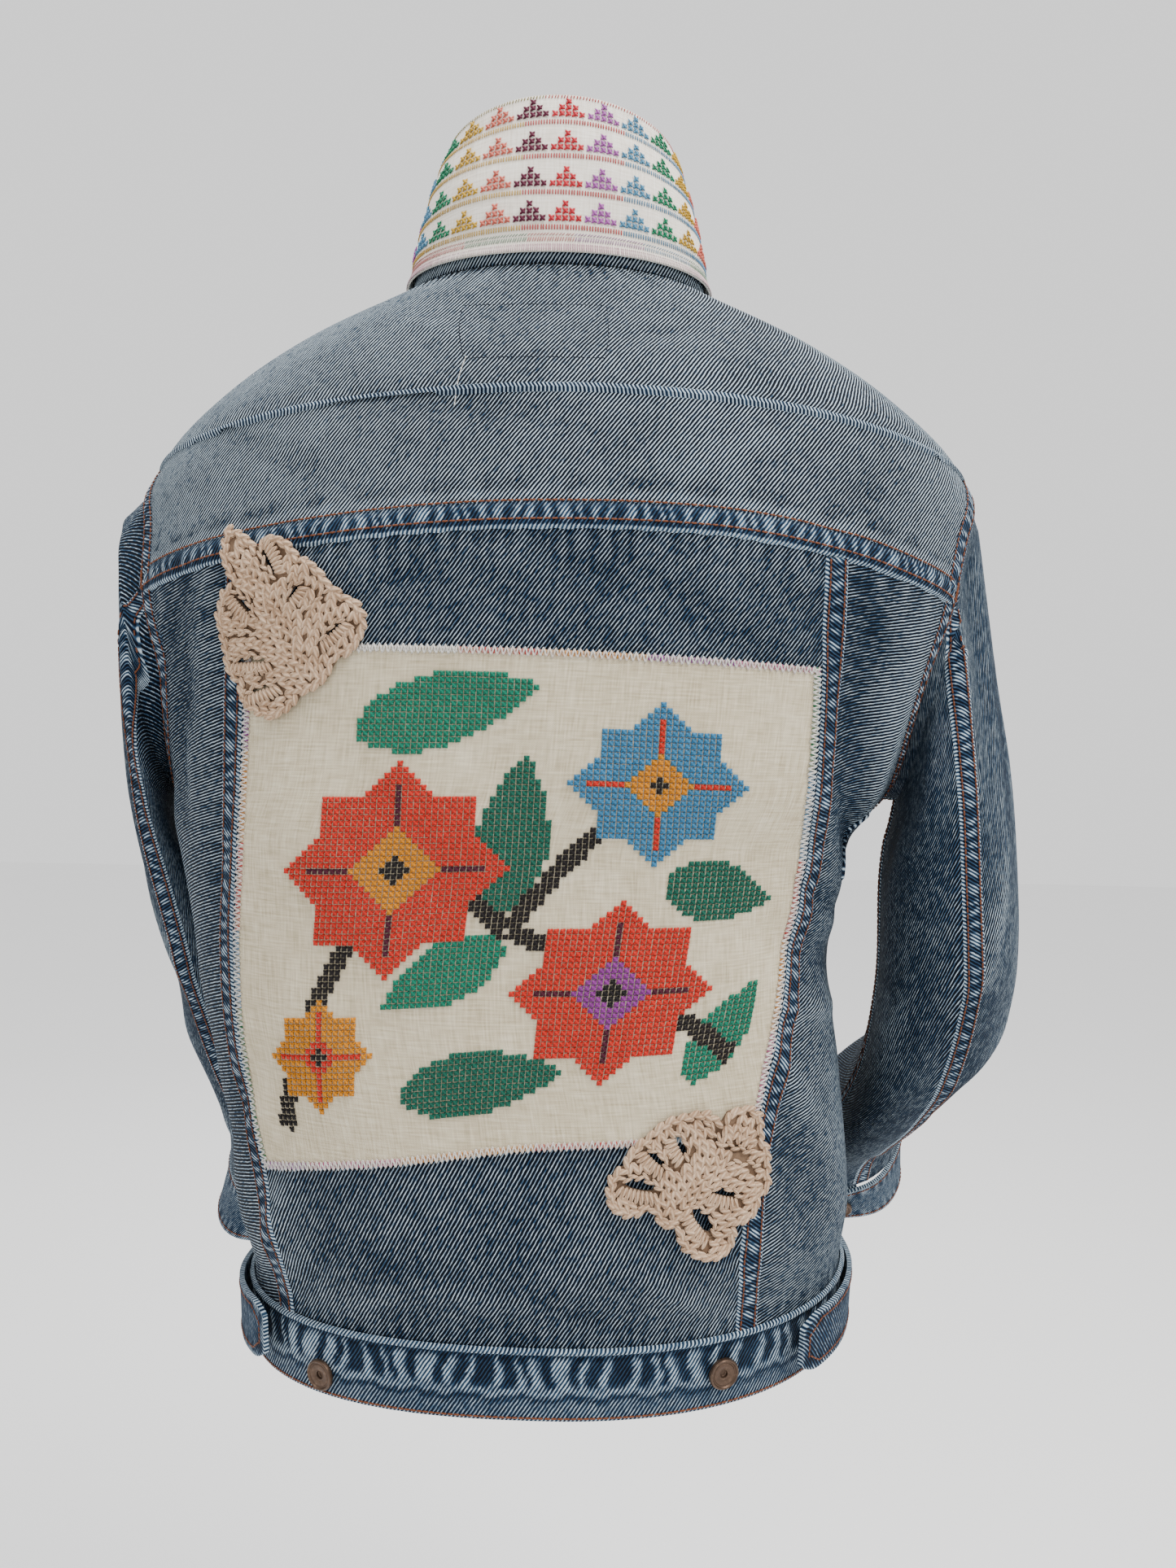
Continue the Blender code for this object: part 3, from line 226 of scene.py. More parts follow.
# Small creases that only the dressed cloth has, in the same columns
bodyCreases = (
    (-160, 372, 1, 22, 4.5, 24, -1.6), (-145, 360, 1, 26, 5, 4, 1.4), (-168, 296, 1, 30, 5, -10, 1.6),
    (-158, 270, 1, 34, 6, 22, -1.8), (-120, 394, 1, 12, 4, 34, 1), (-98, 386, 1, 18, 4.5, 46, -0.9),
    (-60, 392, 1, 16, 4, 60, 0.8), (-30, 388, 1, 20, 4.5, 66, -0.8), (12, 393, 1, 18, 4.2, 74, 0.7),
    (60, 386, 1, 24, 4.6, -70, -0.8), (100, 392, 1, 18, 4.4, -52, 0.9), (168, 300, 1, 28, 5, 8, 1.4),
    (178, 372, 1, 22, 5, -22, -1.4), (150, 250, 1, 40, 6, -8, -1.2), (122, 80, 1, 30, 6, -24, 1.4),
    (100, 60, 1, 22, 5, -34, -1.1), (70, 52, 1, 18, 5, -60, 1), (20, 58, 1, 26, 5, 86, 1),
    (-30, 50, 1, 22, 4.5, 70, -1), (-70, 60, 1, 24, 5, 56, 1.2), (-95, 82, 1, 26, 5, 34, -1.3),
    (-128, 150, 1, 30, 5.5, 30, 1.4), (-140, 180, 1, 24, 5, 70, 1.2),
    (-145, 235, 1, 26, 5.5, 56, -1.2), (30, 470, 1, 50, 9, 80, -0.8), (-90, 450, 1, 45, 9, -62, 0.9),
    (120, 452, 1, 40, 8, 60, -0.9), (-150, 440, 1, 30, 7, -40, -1), (-60, 520, 1, 25, 7, -66, -0.7),
    (60, 525, 1, 22, 7, 60, 0.7), (-130, 300, 0, 35, 6, 20, 1.6), (130, 296, 0, 32, 6, -18, 1.5),
    (-105, 240, 0, 40, 7, 44, -1.4), (100, 250, 0, 36, 7, -40, -1.5), (-130, 140, 0, 34, 6.5, 26, 1.4),
    (132, 150, 0, 30, 6, -30, 1.2), (-110, 60, 0, 22, 5, 60, -1.2), (112, 58, 0, 24, 5, -56, -1.1),
    (-120, 450, 0, 30, 8, 50, -1.1), (118, 446, 0, 32, 8, -50, -1),
)
creaseDepth = 1.6  # how much deeper the small creases of the body are worn than the table says
foldEdges = {"folds": 0.03, "creases": 0.012}  # how far from the band and the neck each fades out
puckerPitch = 0.0093  # length of a pale and a dark streak beside a seam
lifting = 0.001  # how far a second point is lifted to tell which way is out

# Folds and small creases of the sleeves: degrees round, section along, half length, half width, lean, depth
sleeveFolds = {
    "right": (
        (55, 1.7, 1.3, 14, 0, -0.0045), (110, 2.2, 1.2, 14, 8, 0.0035), (40, 5.2, 0.8, 22, 60, -0.0032),
        (100, 6.1, 0.7, 22, 66, -0.0035), (20, 6.6, 0.7, 20, 58, -0.0030),
        (-95, 5.6, 0.5, 40, 84, -0.0060), (-80, 6.6, 0.5, 36, 80, -0.0045),
        (70, 8.2, 0.5, 30, 75, -0.0025), (-60, 2.4, 1.2, 16, 10, -0.0035),
    ),
    "left": (
        (35, 1.9, 1.2, 14, 4, -0.0025), (60, 3.4, 1.4, 16, 10, 0.0025), (40, 5.4, 0.8, 22, 60, -0.0028),
        (95, 6.3, 0.7, 22, 64, -0.0030), (-95, 5.8, 0.5, 38, 82, -0.0050),
        (-75, 6.9, 0.5, 34, 80, -0.0040), (-60, 2.6, 1.2, 16, -8, -0.0032),
    ),
}
sleeveCreases = {
    "right": (
        (75, 1.2, 0.7, 6, -6, 0.0014), (30, 2.6, 0.9, 7, 6, -0.0012), (12, 3.6, 1.0, 8, -10, 0.0012),
        (60, 4.2, 0.7, 8, 34, 0.0014), (85, 4.9, 0.5, 9, 62, 0.0016), (35, 5.8, 0.4, 10, 70, 0.0014),
        (70, 6.4, 0.4, 9, 74, -0.0016), (50, 7.2, 0.4, 9, 66, 0.0015), (5, 7.6, 0.4, 10, 70, -0.0014),
        (90, 7.6, 0.3, 9, 78, 0.0014), (-30, 4.4, 0.9, 8, -20, -0.0012), (-60, 5.1, 0.4, 12, 80, 0.0018),
        (-110, 6.1, 0.3, 12, 84, 0.0018), (-50, 7.4, 0.4, 10, 74, -0.0014), (140, 5.4, 0.5, 10, 60, 0.0014),
        (160, 3.0, 1.0, 8, 12, -0.0012), (-150, 3.8, 0.9, 8, -12, 0.0013), (20, 8.4, 0.3, 10, 76, 0.0010),
    ),
    "left": (
        (70, 1.3, 0.7, 6, 6, 0.0012), (25, 2.8, 0.9, 7, -6, -0.0012), (50, 4.4, 0.7, 8, 34, 0.0014),
        (80, 5.1, 0.5, 9, 60, 0.0015), (30, 6.0, 0.4, 10, 70, 0.0014), (70, 6.8, 0.4, 9, 72, -0.0014),
        (45, 7.6, 0.4, 9, 66, 0.0013), (100, 7.9, 0.3, 9, 78, 0.0013), (-30, 4.6, 0.9, 8, 20, -0.0012),
        (-60, 5.3, 0.4, 12, 80, 0.0016), (-110, 6.4, 0.3, 12, 84, 0.0016), (-50, 7.8, 0.4, 10, 74, -0.0013),
        (140, 5.6, 0.5, 10, 60, 0.0013), (160, 3.2, 1.0, 8, 12, -0.0012), (-150, 4.0, 0.9, 8, 12, 0.0013),
    ),
}
collarTop = {"halfWidth": 0.0575, "back": 0.049, "front": 0.090, "zBack": 0.0790, "zSide": 0.0700,
             "zFront": 0.0080, "shift": -0.0045, "square": 2.1, "bulge": 0.004, "lift": 0.0006}
patchLowV, patchHighV, collarHeight = 0.050, 0.985, 0.085


def put(name, data):
    # a new object in the scene
    added = bpy.data.objects.new(name, data)
    bpy.context.scene.collection.objects.link(added)
    return added


def meshFrom(name, bm):
    mesh = bpy.data.meshes.new(name)
    bm.to_mesh(mesh)
    bm.free()
    return mesh


def smoothCurve(x, y):
    # a smooth curve through a column of a table, which never swings past its values
    x, y = np.array(x, float), np.array(y, float)
    step, rise = np.diff(x), np.diff(y) / np.diff(x)
    slope = np.concatenate([[rise[0]], np.zeros(len(x) - 2), [rise[-1]]])
    for i in range(1, len(x) - 1):
        if rise[i - 1] * rise[i] > 0:
            near, far = 2 * step[i] + step[i - 1], step[i] + 2 * step[i - 1]
            slope[i] = (near + far) / (near / rise[i - 1] + far / rise[i])

    def at(q):
        q = np.asarray(q, float)
        i = np.clip(np.searchsorted(x, q) - 1, 0, len(x) - 2)
        h = step[i]
        u = (q - x[i]) / h
        k = np.clip(u, 0, 1)
        value = ((1 + 2 * k) * (1 - k) ** 2 * y[i] + k * (1 - k) ** 2 * h * slope[i]
                 + k**2 * (3 - 2 * k) * y[i + 1] + k**2 * (k - 1) * h * slope[i + 1])
        return value + (u - k) * h * np.where(u < 0, slope[i], slope[i + 1])

    return at


def stacked(*columns):
    return np.stack(np.broadcast_arrays(*columns), -1)


def unit(v):
    return v / np.linalg.norm(v, axis=-1, keepdims=True)


def runOf(points):
    # how far along a line each of its points lies
    return np.concatenate([[0], np.cumsum(np.linalg.norm(np.diff(points, axis=0), axis=-1))])


def between(start, end):
    # middles, directions and half lengths of threads from start to end
    return (start + end) / 2, unit(end - start), np.linalg.norm(end - start, axis=-1) / 2


def heading(degrees):
    turn = math.radians(degrees)
    return np.array([math.cos(turn), math.sin(turn)])


def ease(x):
    x = np.clip(x, 0, 1)
    return x * x * (3 - 2 * x)


def hump(x, width):
    return np.exp(-((x / width) ** 2))


body = {name: smoothCurve(bodyRings[:, 0] * millimetre,
                          bodyRings[:, i + 1] * (1 if name == "square" else millimetre))
        for i, name in enumerate(ringNames)}
seamX = {1: smoothCurve(longSeams[:, 0], longSeams[:, 1]), -1: smoothCurve(longSeams[:, 0], longSeams[:, 2])}
frontX = {"edge": smoothCurve(frontLines[:, 0], frontLines[:, 1]),
          "placket": smoothCurve(frontLines[:, 0], frontLines[:, 2])}
yokeT = smoothCurve(yokeSeam[:, 0], yokeSeam[:, 1])
patchLowT = smoothCurve(patchLow[:, 0], patchLow[:, 1])
patchHighT = smoothCurve(patchHigh[:, 0], patchHigh[:, 1])


def angleAt(x, t, back=True):
    n = body["square"](t)
    across = np.clip((x - body["shift"](t)) / body["halfWidth"](t), -1, 1)
    deep = (1 - np.abs(across) ** n) ** (1 / n)
    return np.arctan2(deep if back else -deep, across)


def plainBody(theta, t):
    c, s = np.cos(theta), np.sin(theta)
    n = body["square"](t)
    k = (np.abs(c) ** n + np.abs(s) ** n) ** (1 / n)
    depth = np.where(s > 0, body["back"](t), body["front"](t))
    zMiddle = np.where(s > 0, body["zBack"](t), body["zFront"](t))
    z = body["zSide"](t) * c * c + zMiddle * s * s - body["drop"](t) * np.maximum(c, 0) ** 2
    return stacked(body["shift"](t) + body["halfWidth"](t) * c / k, depth * s / k, z)


def normalOf(surface, a, b, stepA, stepB):
    along = surface(a + stepA, b) - surface(a - stepA, b)
    up = surface(a, b + stepB) - surface(a, b - stepB)
    return unit(np.cross(along, up))


def foldRelief(folds, point, t, edge):
    out = np.zeros(point.shape[:-1])
    for x, high, back, run, width, lean, depth in folds:
        x, high, run, width, depth = (value * millimetre for value in (x, high, run, width, depth))
        sameFace = ease((point[..., 1] if back else -point[..., 1]) / 0.03)
        dx, dt, lean = point[..., 0] - x, t - high, math.radians(lean)
        along = dt * math.cos(lean) + dx * math.sin(lean)
        across = dx * math.cos(lean) - dt * math.sin(lean)
        out += depth * hump(across, width) * hump(along, run) * sameFace
    return out * ease((t - bandTop) / edge) * ease((neckT - t) / (edge * 5 / 3))


def bodySurface(theta, t, out=0.0):
    theta, t = np.broadcast_arrays(np.asarray(theta, float), np.asarray(t, float))
    point = plainBody(theta, t)
    normal = normalOf(plainBody, theta, t, 0.02, 0.003)
    relief = foldRelief(bodyFolds, point, t, foldEdges["folds"])
    relief = relief + creaseDepth * foldRelief(bodyCreases, point, t, foldEdges["creases"])
    return point + normal * (relief + out)[..., None]


def armhole(side, psi):
    shape = armholeShape
    half = np.where(np.sin(psi) > 0, shape["back"], shape["front"])
    half = np.radians(half + shape["wider"] * np.cos(psi))
    swing = half * np.sin(psi)
    return swing if side > 0 else math.pi - swing, shape["t"] + shape["halfT"] * np.cos(psi)


def foldShare(fold, psi, q):
    # how much of one of a sleeve's folds lies at a place
    foldPsi, foldQ, run, width, lean, _ = fold
    turn = np.degrees((psi - math.radians(foldPsi) + math.pi) % (2 * math.pi) - math.pi) / 45
    lean = math.radians(lean)
    along = (q - foldQ) * math.cos(lean) + turn * math.sin(lean)
    across = turn * math.cos(lean) - (q - foldQ) * math.sin(lean)
    return hump(across, width / 45) * hump(along, run)


def sleeveSurface(name):
    side, rows = (1 if name == "left" else -1), sleeveRings[name] * millimetre
    at = [smoothCurve(np.arange(1, len(rows) + 1), rows[:, i]) for i in range(8)]

    def plain(psi, q):
        psi, q = np.broadcast_arrays(np.asarray(psi, float), np.asarray(q, float))
        start = bodySurface(*armhole(side, psi))
        x, y, z, outX, outZ, backX, backY, backZ = (column(np.maximum(q, 1)) for column in at)
        c, s = (np.sign(f) * np.abs(f) ** 0.85 for f in (np.cos(psi), np.sin(psi)))
        ring = stacked(side * (x + outX * c + backX * s), y + backY * s, z + outZ * c + backZ * s)
        share = np.clip(q, 0, 1)[..., None]
        return start * (1 - share) + ring * share

    def relief(psi, q):
        out = np.zeros(psi.shape)
        for fold in sleeveFolds[name] + sleeveCreases[name]:
            out += fold[-1] * foldShare(fold, psi, q)
        return out * ease(q / 0.8) * ease((cuffStart - q) / 0.6)

    def surface(psi, q, out=0.0):
        psi, q = np.broadcast_arrays(np.asarray(psi, float), np.asarray(q, float))
        away = side * -normalOf(plain, psi, np.clip(q, 0.05, cuffEnd - 0.05), 0.03, 0.04)
        seam = normalOf(plainBody, *armhole(side, psi), 0.02, 0.003)
        normal = unit(away + seam * (1 - ease(q / 0.35))[..., None])
        return plain(psi, q) + normal * (relief(psi, q) + out)[..., None]

    return surface


def collarSurface(theta, v, out=0.0):
    theta, v = np.broadcast_arrays(np.asarray(theta, float), np.asarray(v, float))
    top = collarTop

    def plain(angle, height):
        foot = plainBody(angle, np.full(angle.shape, neckT)) + np.array([0, 0, top["lift"]])
        c, s = np.cos(angle), np.sin(angle)
        k = (np.abs(c) ** top["square"] + np.abs(s) ** top["square"]) ** (1 / top["square"])
        depth = np.where(s > 0, top["back"], top["front"])
        z = top["zSide"] * c * c + np.where(s > 0, top["zBack"], top["zFront"]) * s * s
        head = stacked(top["shift"] + top["halfWidth"] * c / k, depth * s / k, z)
        swell = top["bulge"] * np.sin(math.pi * np.clip(height, 0, 1))
        bulge = stacked(c, s, np.zeros(c.shape)) * swell[..., None]
        return foot * (1 - height)[..., None] + head * height[..., None] + bulge

    normal = normalOf(plain, theta, v, 0.02, 0.02)
    return plain(theta, v) + normal * np.asarray(out)[..., None]


# Lengths round the body and the collar, so that weave and stitches keep their size
roundAngles = np.linspace(-math.pi / 2, 1.5 * math.pi, 361)
roundHeights = np.linspace(0, neckT, 39)


def roundTable(surface, heights):
    rings = surface(roundAngles[None, :], heights[:, None])
    steps = np.linalg.norm(np.diff(rings, axis=1), axis=-1)
    run = np.concatenate([np.zeros((len(heights), 1)), np.cumsum(steps, axis=1)], axis=1)
    return run - run[:, 180:181]


bodyRound = roundTable(plainBody, roundHeights)
collarRound = roundTable(collarSurface, np.linspace(0, 1, 9))


def lookUp(table, angle, share):
    # a table's value at an angle and a share of the height, blended between its cells
    angle = (angle + math.pi / 2) % (2 * math.pi)
    column = np.clip(angle / (2 * math.pi) * 360, 0, 359.999)
    row = np.clip(share * (len(table) - 1), 0, len(table) - 1.001)
    i, j = row.astype(int), column.astype(int)
    di, dj = row - i, column - j
    low = table[i, j] * (1 - dj) + table[i, j + 1] * dj
    high = table[i + 1, j] * (1 - dj) + table[i + 1, j + 1] * dj
    return low * (1 - di) + high * di


def bodyUv(theta, t):
    return stacked(lookUp(bodyRound, theta, t / neckT), t)


def clothAt(surface, a, b, out, uv, wear):
    # what clothGrid asks for: points, cloth coordinates, wear with painted shade and highlight, and the points lifted
    # outwards
    return surface(a, b, out), uv, wear, surface(a, b, out + lifting)


# Node materials


class Value:  # one socket of a node tree, with plain arithmetic

    def __init__(self, maker, socket):
        self.maker, self.socket = maker, socket

    def join(self, operation, a, b):
        return self.maker.node("ShaderNodeMath", {"operation": operation}, {0: a, 1: b})

    def __add__(self, other):
        return self.join("ADD", self, other)

    def __sub__(self, other):
        return self.join("SUBTRACT", self, other)

    def __mul__(self, other):
        return self.join("MULTIPLY", self, other)

    def sine(self):
        return self.join("SINE", self, 0.0)

    def clamp(self):
        return self.maker.node("ShaderNodeClamp", {}, {0: self})


class Finish:  # a material whose nodes are all made by one method

    def __init__(self, name):
        self.material = bpy.data.materials.new(name)
        self.material.use_nodes = True
        self.tree = self.material.node_tree
        self.tree.nodes.clear()

    def node(self, kind, settings, sockets, out=0):
        made = self.tree.nodes.new(kind)
        for key, value in settings.items():
            if key == "stops":
                for i, (at, colour) in enumerate(value):
                    stop = made.color_ramp.elements[i] if i < 2 else made.color_ramp.elements.new(at)
                    stop.position = at
                    stop.color = (*colour, 1)
            else:
                setattr(made, key, value)
        for key, value in sockets.items():
            if isinstance(value, Value):
                self.tree.links.new(value.socket, made.inputs[key])
            else:
                made.inputs[key].default_value = value
        return Value(self, made.outputs[out])

    def cloth(self):
        # the cloth's own coordinates, as one vector and as u and v
        uv = self.node("ShaderNodeUVMap", {"uv_map": "cloth"}, {})
        split = self.node("ShaderNodeSeparateXYZ", {}, {0: uv})
        return uv, split, Value(self, split.socket.node.outputs[1])

    def place(self):
        return self.node("ShaderNodeTexCoord", {}, {}, 3)

    def ramp(self, tone, *stops):
        # the first two stops are the ends, each with a red, green and blue of 0 to 255
        stops = [(at, srgb(*colour)) for at, colour in stops]
        return self.node("ShaderNodeValToRGB", {"stops": stops}, {0: tone})

    def noise(self, vector, scale, detail=3.0, rough=0.6):
        return self.node("ShaderNodeTexNoise", {"noise_dimensions": "3D"},
                         {"Vector": vector, "Scale": scale, "Detail": detail, "Roughness": rough})

    def stretched(self, vector, scale):
        return self.node("ShaderNodeMapping", {}, {"Vector": vector, "Scale": scale})

    def mixed(self, factor, a, b, blend="MIX"):
        return self.node("ShaderNodeMix", {"data_type": "RGBA", "blend_type": blend},
                         {0: factor, 6: a, 7: b}, 2)

    def surface(self, colour, roughness, bump=None, strength=0.5, distance=0.0004, sheen=None, **constants):
        # sheen is its weight, its roughness and the level of the highlight
        sockets = {"Base Color": colour, "Roughness": roughness, **constants}
        sockets.update(zip(("Sheen Weight", "Sheen Roughness", "Specular IOR Level"), sheen or ()))
        if bump is not None:
            sockets["Normal"] = self.node("ShaderNodeBump", {},
                                          {"Height": bump, "Strength": strength, "Distance": distance})
        shader = self.node("ShaderNodeBsdfPrincipled", {}, sockets)
        output = self.tree.nodes.new("ShaderNodeOutputMaterial")
        self.tree.links.new(shader.socket, output.inputs["Surface"])
        return self.material


def srgb(*colour):
    return tuple((c / 255 / 12.92) if c <= 10 else ((c / 255 + 0.055) / 1.055) ** 2.4 for c in colour)


denimLook = {"twillPitch": 0.00160, "twillAngle": 57, "darkest": (1, 3, 10), "indigo": (7, 19, 38),
             "worn": (45, 72, 97), "white": (190, 206, 216)}


def denimFinish(name, fade, contrast, mottle, angle=None):
    look, f = denimLook, Finish(name)
    uv, u, v = f.cloth()
    # this attribute holds real wear together with painted shade and highlight from folds, seams and the waistband
    wear = f.node("ShaderNodeAttribute", {"attribute_name": "wear"}, {}, 2)
    point = f.place()
    turn = math.radians(look["twillAngle"] if angle is None else angle)
    across = u * math.sin(turn) - v * math.cos(turn)
    along = u * math.cos(turn) + v * math.sin(turn)
    wander = f.noise(uv, 260.0, 2.0) * 2.4
    ridge = (across * (2 * math.pi / look["twillPitch"]) + wander).sine()
    yarns = f.node("ShaderNodeCombineXYZ", {}, {0: across * 800.0, 1: along * 210.0})
    breaks = f.noise(yarns, 1.0, 1.0)
    slub = f.noise(f.stretched(uv, (620.0, 55.0, 1.0)), 1.0, 2.0)
    blotch = f.noise(point, 105.0, 4.0, 0.7)
    grain = f.noise(point, 430.0, 3.0, 0.75)
    cloud = f.noise(point, 17.0, 3.0, 0.5)
    tone = (blotch - 0.5) * mottle + (grain - 0.5) * (mottle * 1.3) + (cloud - 0.5) * mottle
    tone = tone + (slub - 0.5) * (mottle * 0.55) + wear * 0.42 + fade
    twill = ridge * contrast * (breaks * 1.6 + 0.20)
    level = (tone + twill).clamp()
    colour = f.ramp(level, (0.0, look["darkest"]), (1.0, look["white"]), (0.36, look["indigo"]),
                    (0.70, look["worn"]))
    height = twill * 1.6 + (breaks - 0.5) * 0.7 + (grain - 0.5) * 0.6
    return f.surface(colour, 0.86, height, 0.9, 0.00045, (0.02, 0.5, 0.10))


def linenFinish(name, dark, middle, light):
    f = Finish(name)
    uv, u, v = f.cloth()
    wander = f.noise(uv, 120.0, 2.0) * 1.6
    warp = (u * (2 * math.pi / 0.00074) + wander).sine()
    weft = (v * (2 * math.pi / 0.00078) + wander).sine()
    weave = warp * weft
    slubU = f.noise(f.stretched(uv, (1100.0, 70.0, 1.0)), 1.0, 1.0)
    slubV = f.noise(f.stretched(uv, (70.0, 1100.0, 1.0)), 1.0, 1.0)
    cloud = f.noise(uv, 22.0, 3.0)
    slub = (slubU - 0.5) + (slubV - 0.5)
    tone = (slub * 1.1 + weave * 0.10 + (cloud - 0.5) * 0.5 + 0.56).clamp()
    colour = f.ramp(tone, (0.0, dark), (1.0, light), (0.5, middle))
    return f.surface(colour, 0.9, weave * 0.5 + slub * 1.4, 0.55, 0.0003, (0.04, 0.6, 0.1))


def threadFinish(name, colour):
    # colour None reads the piece's own thread colours
    f = Finish(name)
    _, u, v = f.cloth()
    ply = (u * (4 * math.pi) + v * 26.0).sine()
    point = f.place()
    vary = f.noise(point, 350.0, 2.0)
    if colour is None:
        base = f.node("ShaderNodeAttribute", {"attribute_name": "thread"}, {}, 0)
    else:
        base = f.node("ShaderNodeRGB", {}, {})
        base.socket.default_value = (*srgb(*colour), 1)
    # the ply stripes darken the thread between its twists as painted shade; the noise varies its tone
    shade = (ply * 0.16 + (vary - 0.5) * 0.5 + 0.42).clamp()
    deep = f.mixed(1.0, base, (0.30, 0.30, 0.30, 1.0), "MULTIPLY")
    height = ply * 0.6 + vary * 0.4
    return f.surface(f.mixed(shade, base, deep), 0.62, height, 0.5, 0.0003, (0.03, 0.4, 0.25))


def yarnFinish(name, dark, middle, light):
    f = Finish(name)
    _, u, v = f.cloth()
    point = f.place()
    fuzz = f.noise(point, 900.0, 3.0)
    ply = (u * (8 * math.pi) + v * 16.0 + fuzz * 1.2).sine()
    vary = f.noise(point, 130.0, 2.0)
    # the ply stripes darken the yarn between its twists as painted shade; the noise and fuzz vary its tone
    tone = (ply * 0.17 + (vary - 0.5) * 0.7 + (fuzz - 0.5) * 0.5 + 0.60).clamp()
    colour = f.ramp(tone, (0.0, dark), (1.0, light), (0.45, middle))
    return f.surface(colour, 0.88, ply * 0.7 + fuzz * 0.5, 0.6, 0.0005, (0.05, 0.5, 0.12))


def bronzeFinish():
    f = Finish("darkBronze")
    point = f.place()
    worn = f.noise(point, 700.0, 4.0)
    patina = f.noise(point, 240.0, 3.0)
    tone = (worn * 0.6 + patina * 0.5 - 0.05).clamp()
    colour = f.ramp(tone, (0.0, (44, 36, 32)), (1.0, (150, 126, 106)), (0.55, (88, 70, 58)))
    return f.surface(colour, 0.42, worn, 0.25, 0.0001, Metallic=0.85)


denims = {
    "body": denimFinish("stonewashedDenim", 0.40, 0.50, 0.27),
    # the yoke's cloth is lighter: partly real fading, partly painted light on the top of the jacket
    "yoke": denimFinish("fadedYokeDenim", 0.48, 0.58, 0.32),
    "side": denimFinish("sideDenim", 0.39, 0.52, 0.24, 16),
    # the sleeves' cloth is darker than the body's, painted shade for sleeves turned away from the light
    "sleeve": denimFinish("sleeveDenim", 0.32, 0.48, 0.27),
    "seam": denimFinish("felledSeamDenim", 0.53, 0.30, 0.22),
    "inside": denimFinish("denimInside", 0.68, 0.36, 0.16, 120),
}
linens = {
    "linen": linenFinish("naturalLinen", (160, 147, 120), (194, 181, 154), (218, 208, 183)),
    "paleLinen": linenFinish("paleLinen", (208, 198, 184), (232, 224, 211), (248, 243, 234)),
}
copperThread = threadFinish("copperThread", (124, 68, 38))
navyThread = threadFinish("navyThread", (22, 30, 48))
whiteThread = threadFinish("whiteThread", (228, 226, 220))
orangeThread = threadFinish("orangeThread", (190, 92, 42))
colouredThread = threadFinish("colouredThread", None)
cottonYarn = yarnFinish("cottonYarn", (84, 60, 42), (168, 137, 110), (216, 190, 163))
# a darker copy of the cotton yarn for the leaves' ground, painted shade seen between the stitches
shadedYarn = yarnFinish("shadedYarn", (46, 33, 24), (104, 82, 64), (140, 116, 95))
bronze = bronzeFinish()
print("materials made")

# Mesh helpers


def linkPiece(name, mesh, materials, smoothAngle=42):
    for material in materials:
        mesh.materials.append(material)
    mesh.shade_smooth()
    if smoothAngle:
        mesh.set_sharp_from_angle(angle=math.radians(smoothAngle))
    piece = put(name, mesh)
    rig.ride(piece, "root")
    return piece


def clothGrid(name, columns, rows, place, thickness, materials):
    # place(u, v) gives what clothAt returns, at shares across and up the cloth
    bm = bmesh.new()
    bmesh.ops.create_grid(bm, x_segments=columns, y_segments=rows, size=0.5)
    mesh = bpy.data.meshes.new(name)
    bm.to_mesh(mesh)
    flat = np.empty(len(mesh.vertices) * 3)
    mesh.vertices.foreach_get("co", flat)
    u, v = flat[0::3] + 0.5, flat[1::3] + 0.5
    points, uv, wear, lifted = place(np.clip(u, 0, 1), np.clip(v, 0, 1))
    mesh.vertices.foreach_set("co", points.reshape(-1))
    mesh.update()
    normals = np.empty(len(mesh.polygons) * 3)
    mesh.polygons.foreach_get("normal", normals)
    first = np.array([polygon.vertices[0] for polygon in mesh.polygons])
    if np.sum(normals.reshape(-1, 3) * (lifted - points)[first]) < 0:
        bm.clear()
        bm.from_mesh(mesh)
        bmesh.ops.reverse_faces(bm, faces=bm.faces)
        bm.to_mesh(mesh)
    bm.free()
    corner = np.empty(len(mesh.loops), int)
    mesh.loops.foreach_get("vertex_index", corner)
    mesh.uv_layers.new(name="cloth").data.foreach_set("uv", uv[corner].astype(np.float32).reshape(-1))
    mesh.attributes.new("wear", "FLOAT", "POINT").data.foreach_set("value", wear.astype(np.float32))
    holder = put(name + "Flat", mesh)
    thick = holder.modifiers.new("thickness", "SOLIDIFY")
    thick.thickness, thick.offset = thickness, -1
    thick.material_offset = 1 if len(materials) > 1 else 0
    for material in materials:
        mesh.materials.append(material)
    graph = bpy.context.evaluated_depsgraph_get()
    solid = bpy.data.meshes.new_from_object(holder.evaluated_get(graph))
    bpy.data.objects.remove(holder)
    bpy.data.meshes.remove(mesh)
    solid.name = name
    return linkPiece(name, solid, [])


def polyLine(points, count):
    # resampled evenly by its length, with an angle counted as 0.16 m a radian
    run = runOf(points * np.array([0.16, 1.0]))
    at = np.linspace(0, run[-1], count)
    return np.stack([np.interp(at, run, points[:, i]) for i in (0, 1)], -1)


def coonsPlace(bottom, top, left, right):
    # (angle, t) at shares (u, v) between four lines that share their corners
    lines = [polyLine(np.asarray(line, float), 160) for line in (bottom, top, left, right)]
    share = np.linspace(0, 1, 160)

    def along(line, s):
        return np.stack([np.interp(s, share, line[:, i]) for i in (0, 1)], -1)

    def at(u, v):
        low, high, near, far = along(lines[0], u), along(lines[1], u), along(lines[2], v), along(lines[3], v)
        a, b = u[..., None], v[..., None]
        corners = ((1 - a) * (1 - b) * lines[0][0] + a * (1 - b) * lines[0][-1]
                   + (1 - a) * b * lines[1][0] + a * b * lines[1][-1])
        return (1 - b) * low + b * high + (1 - a) * near + a * far - corners

    return at


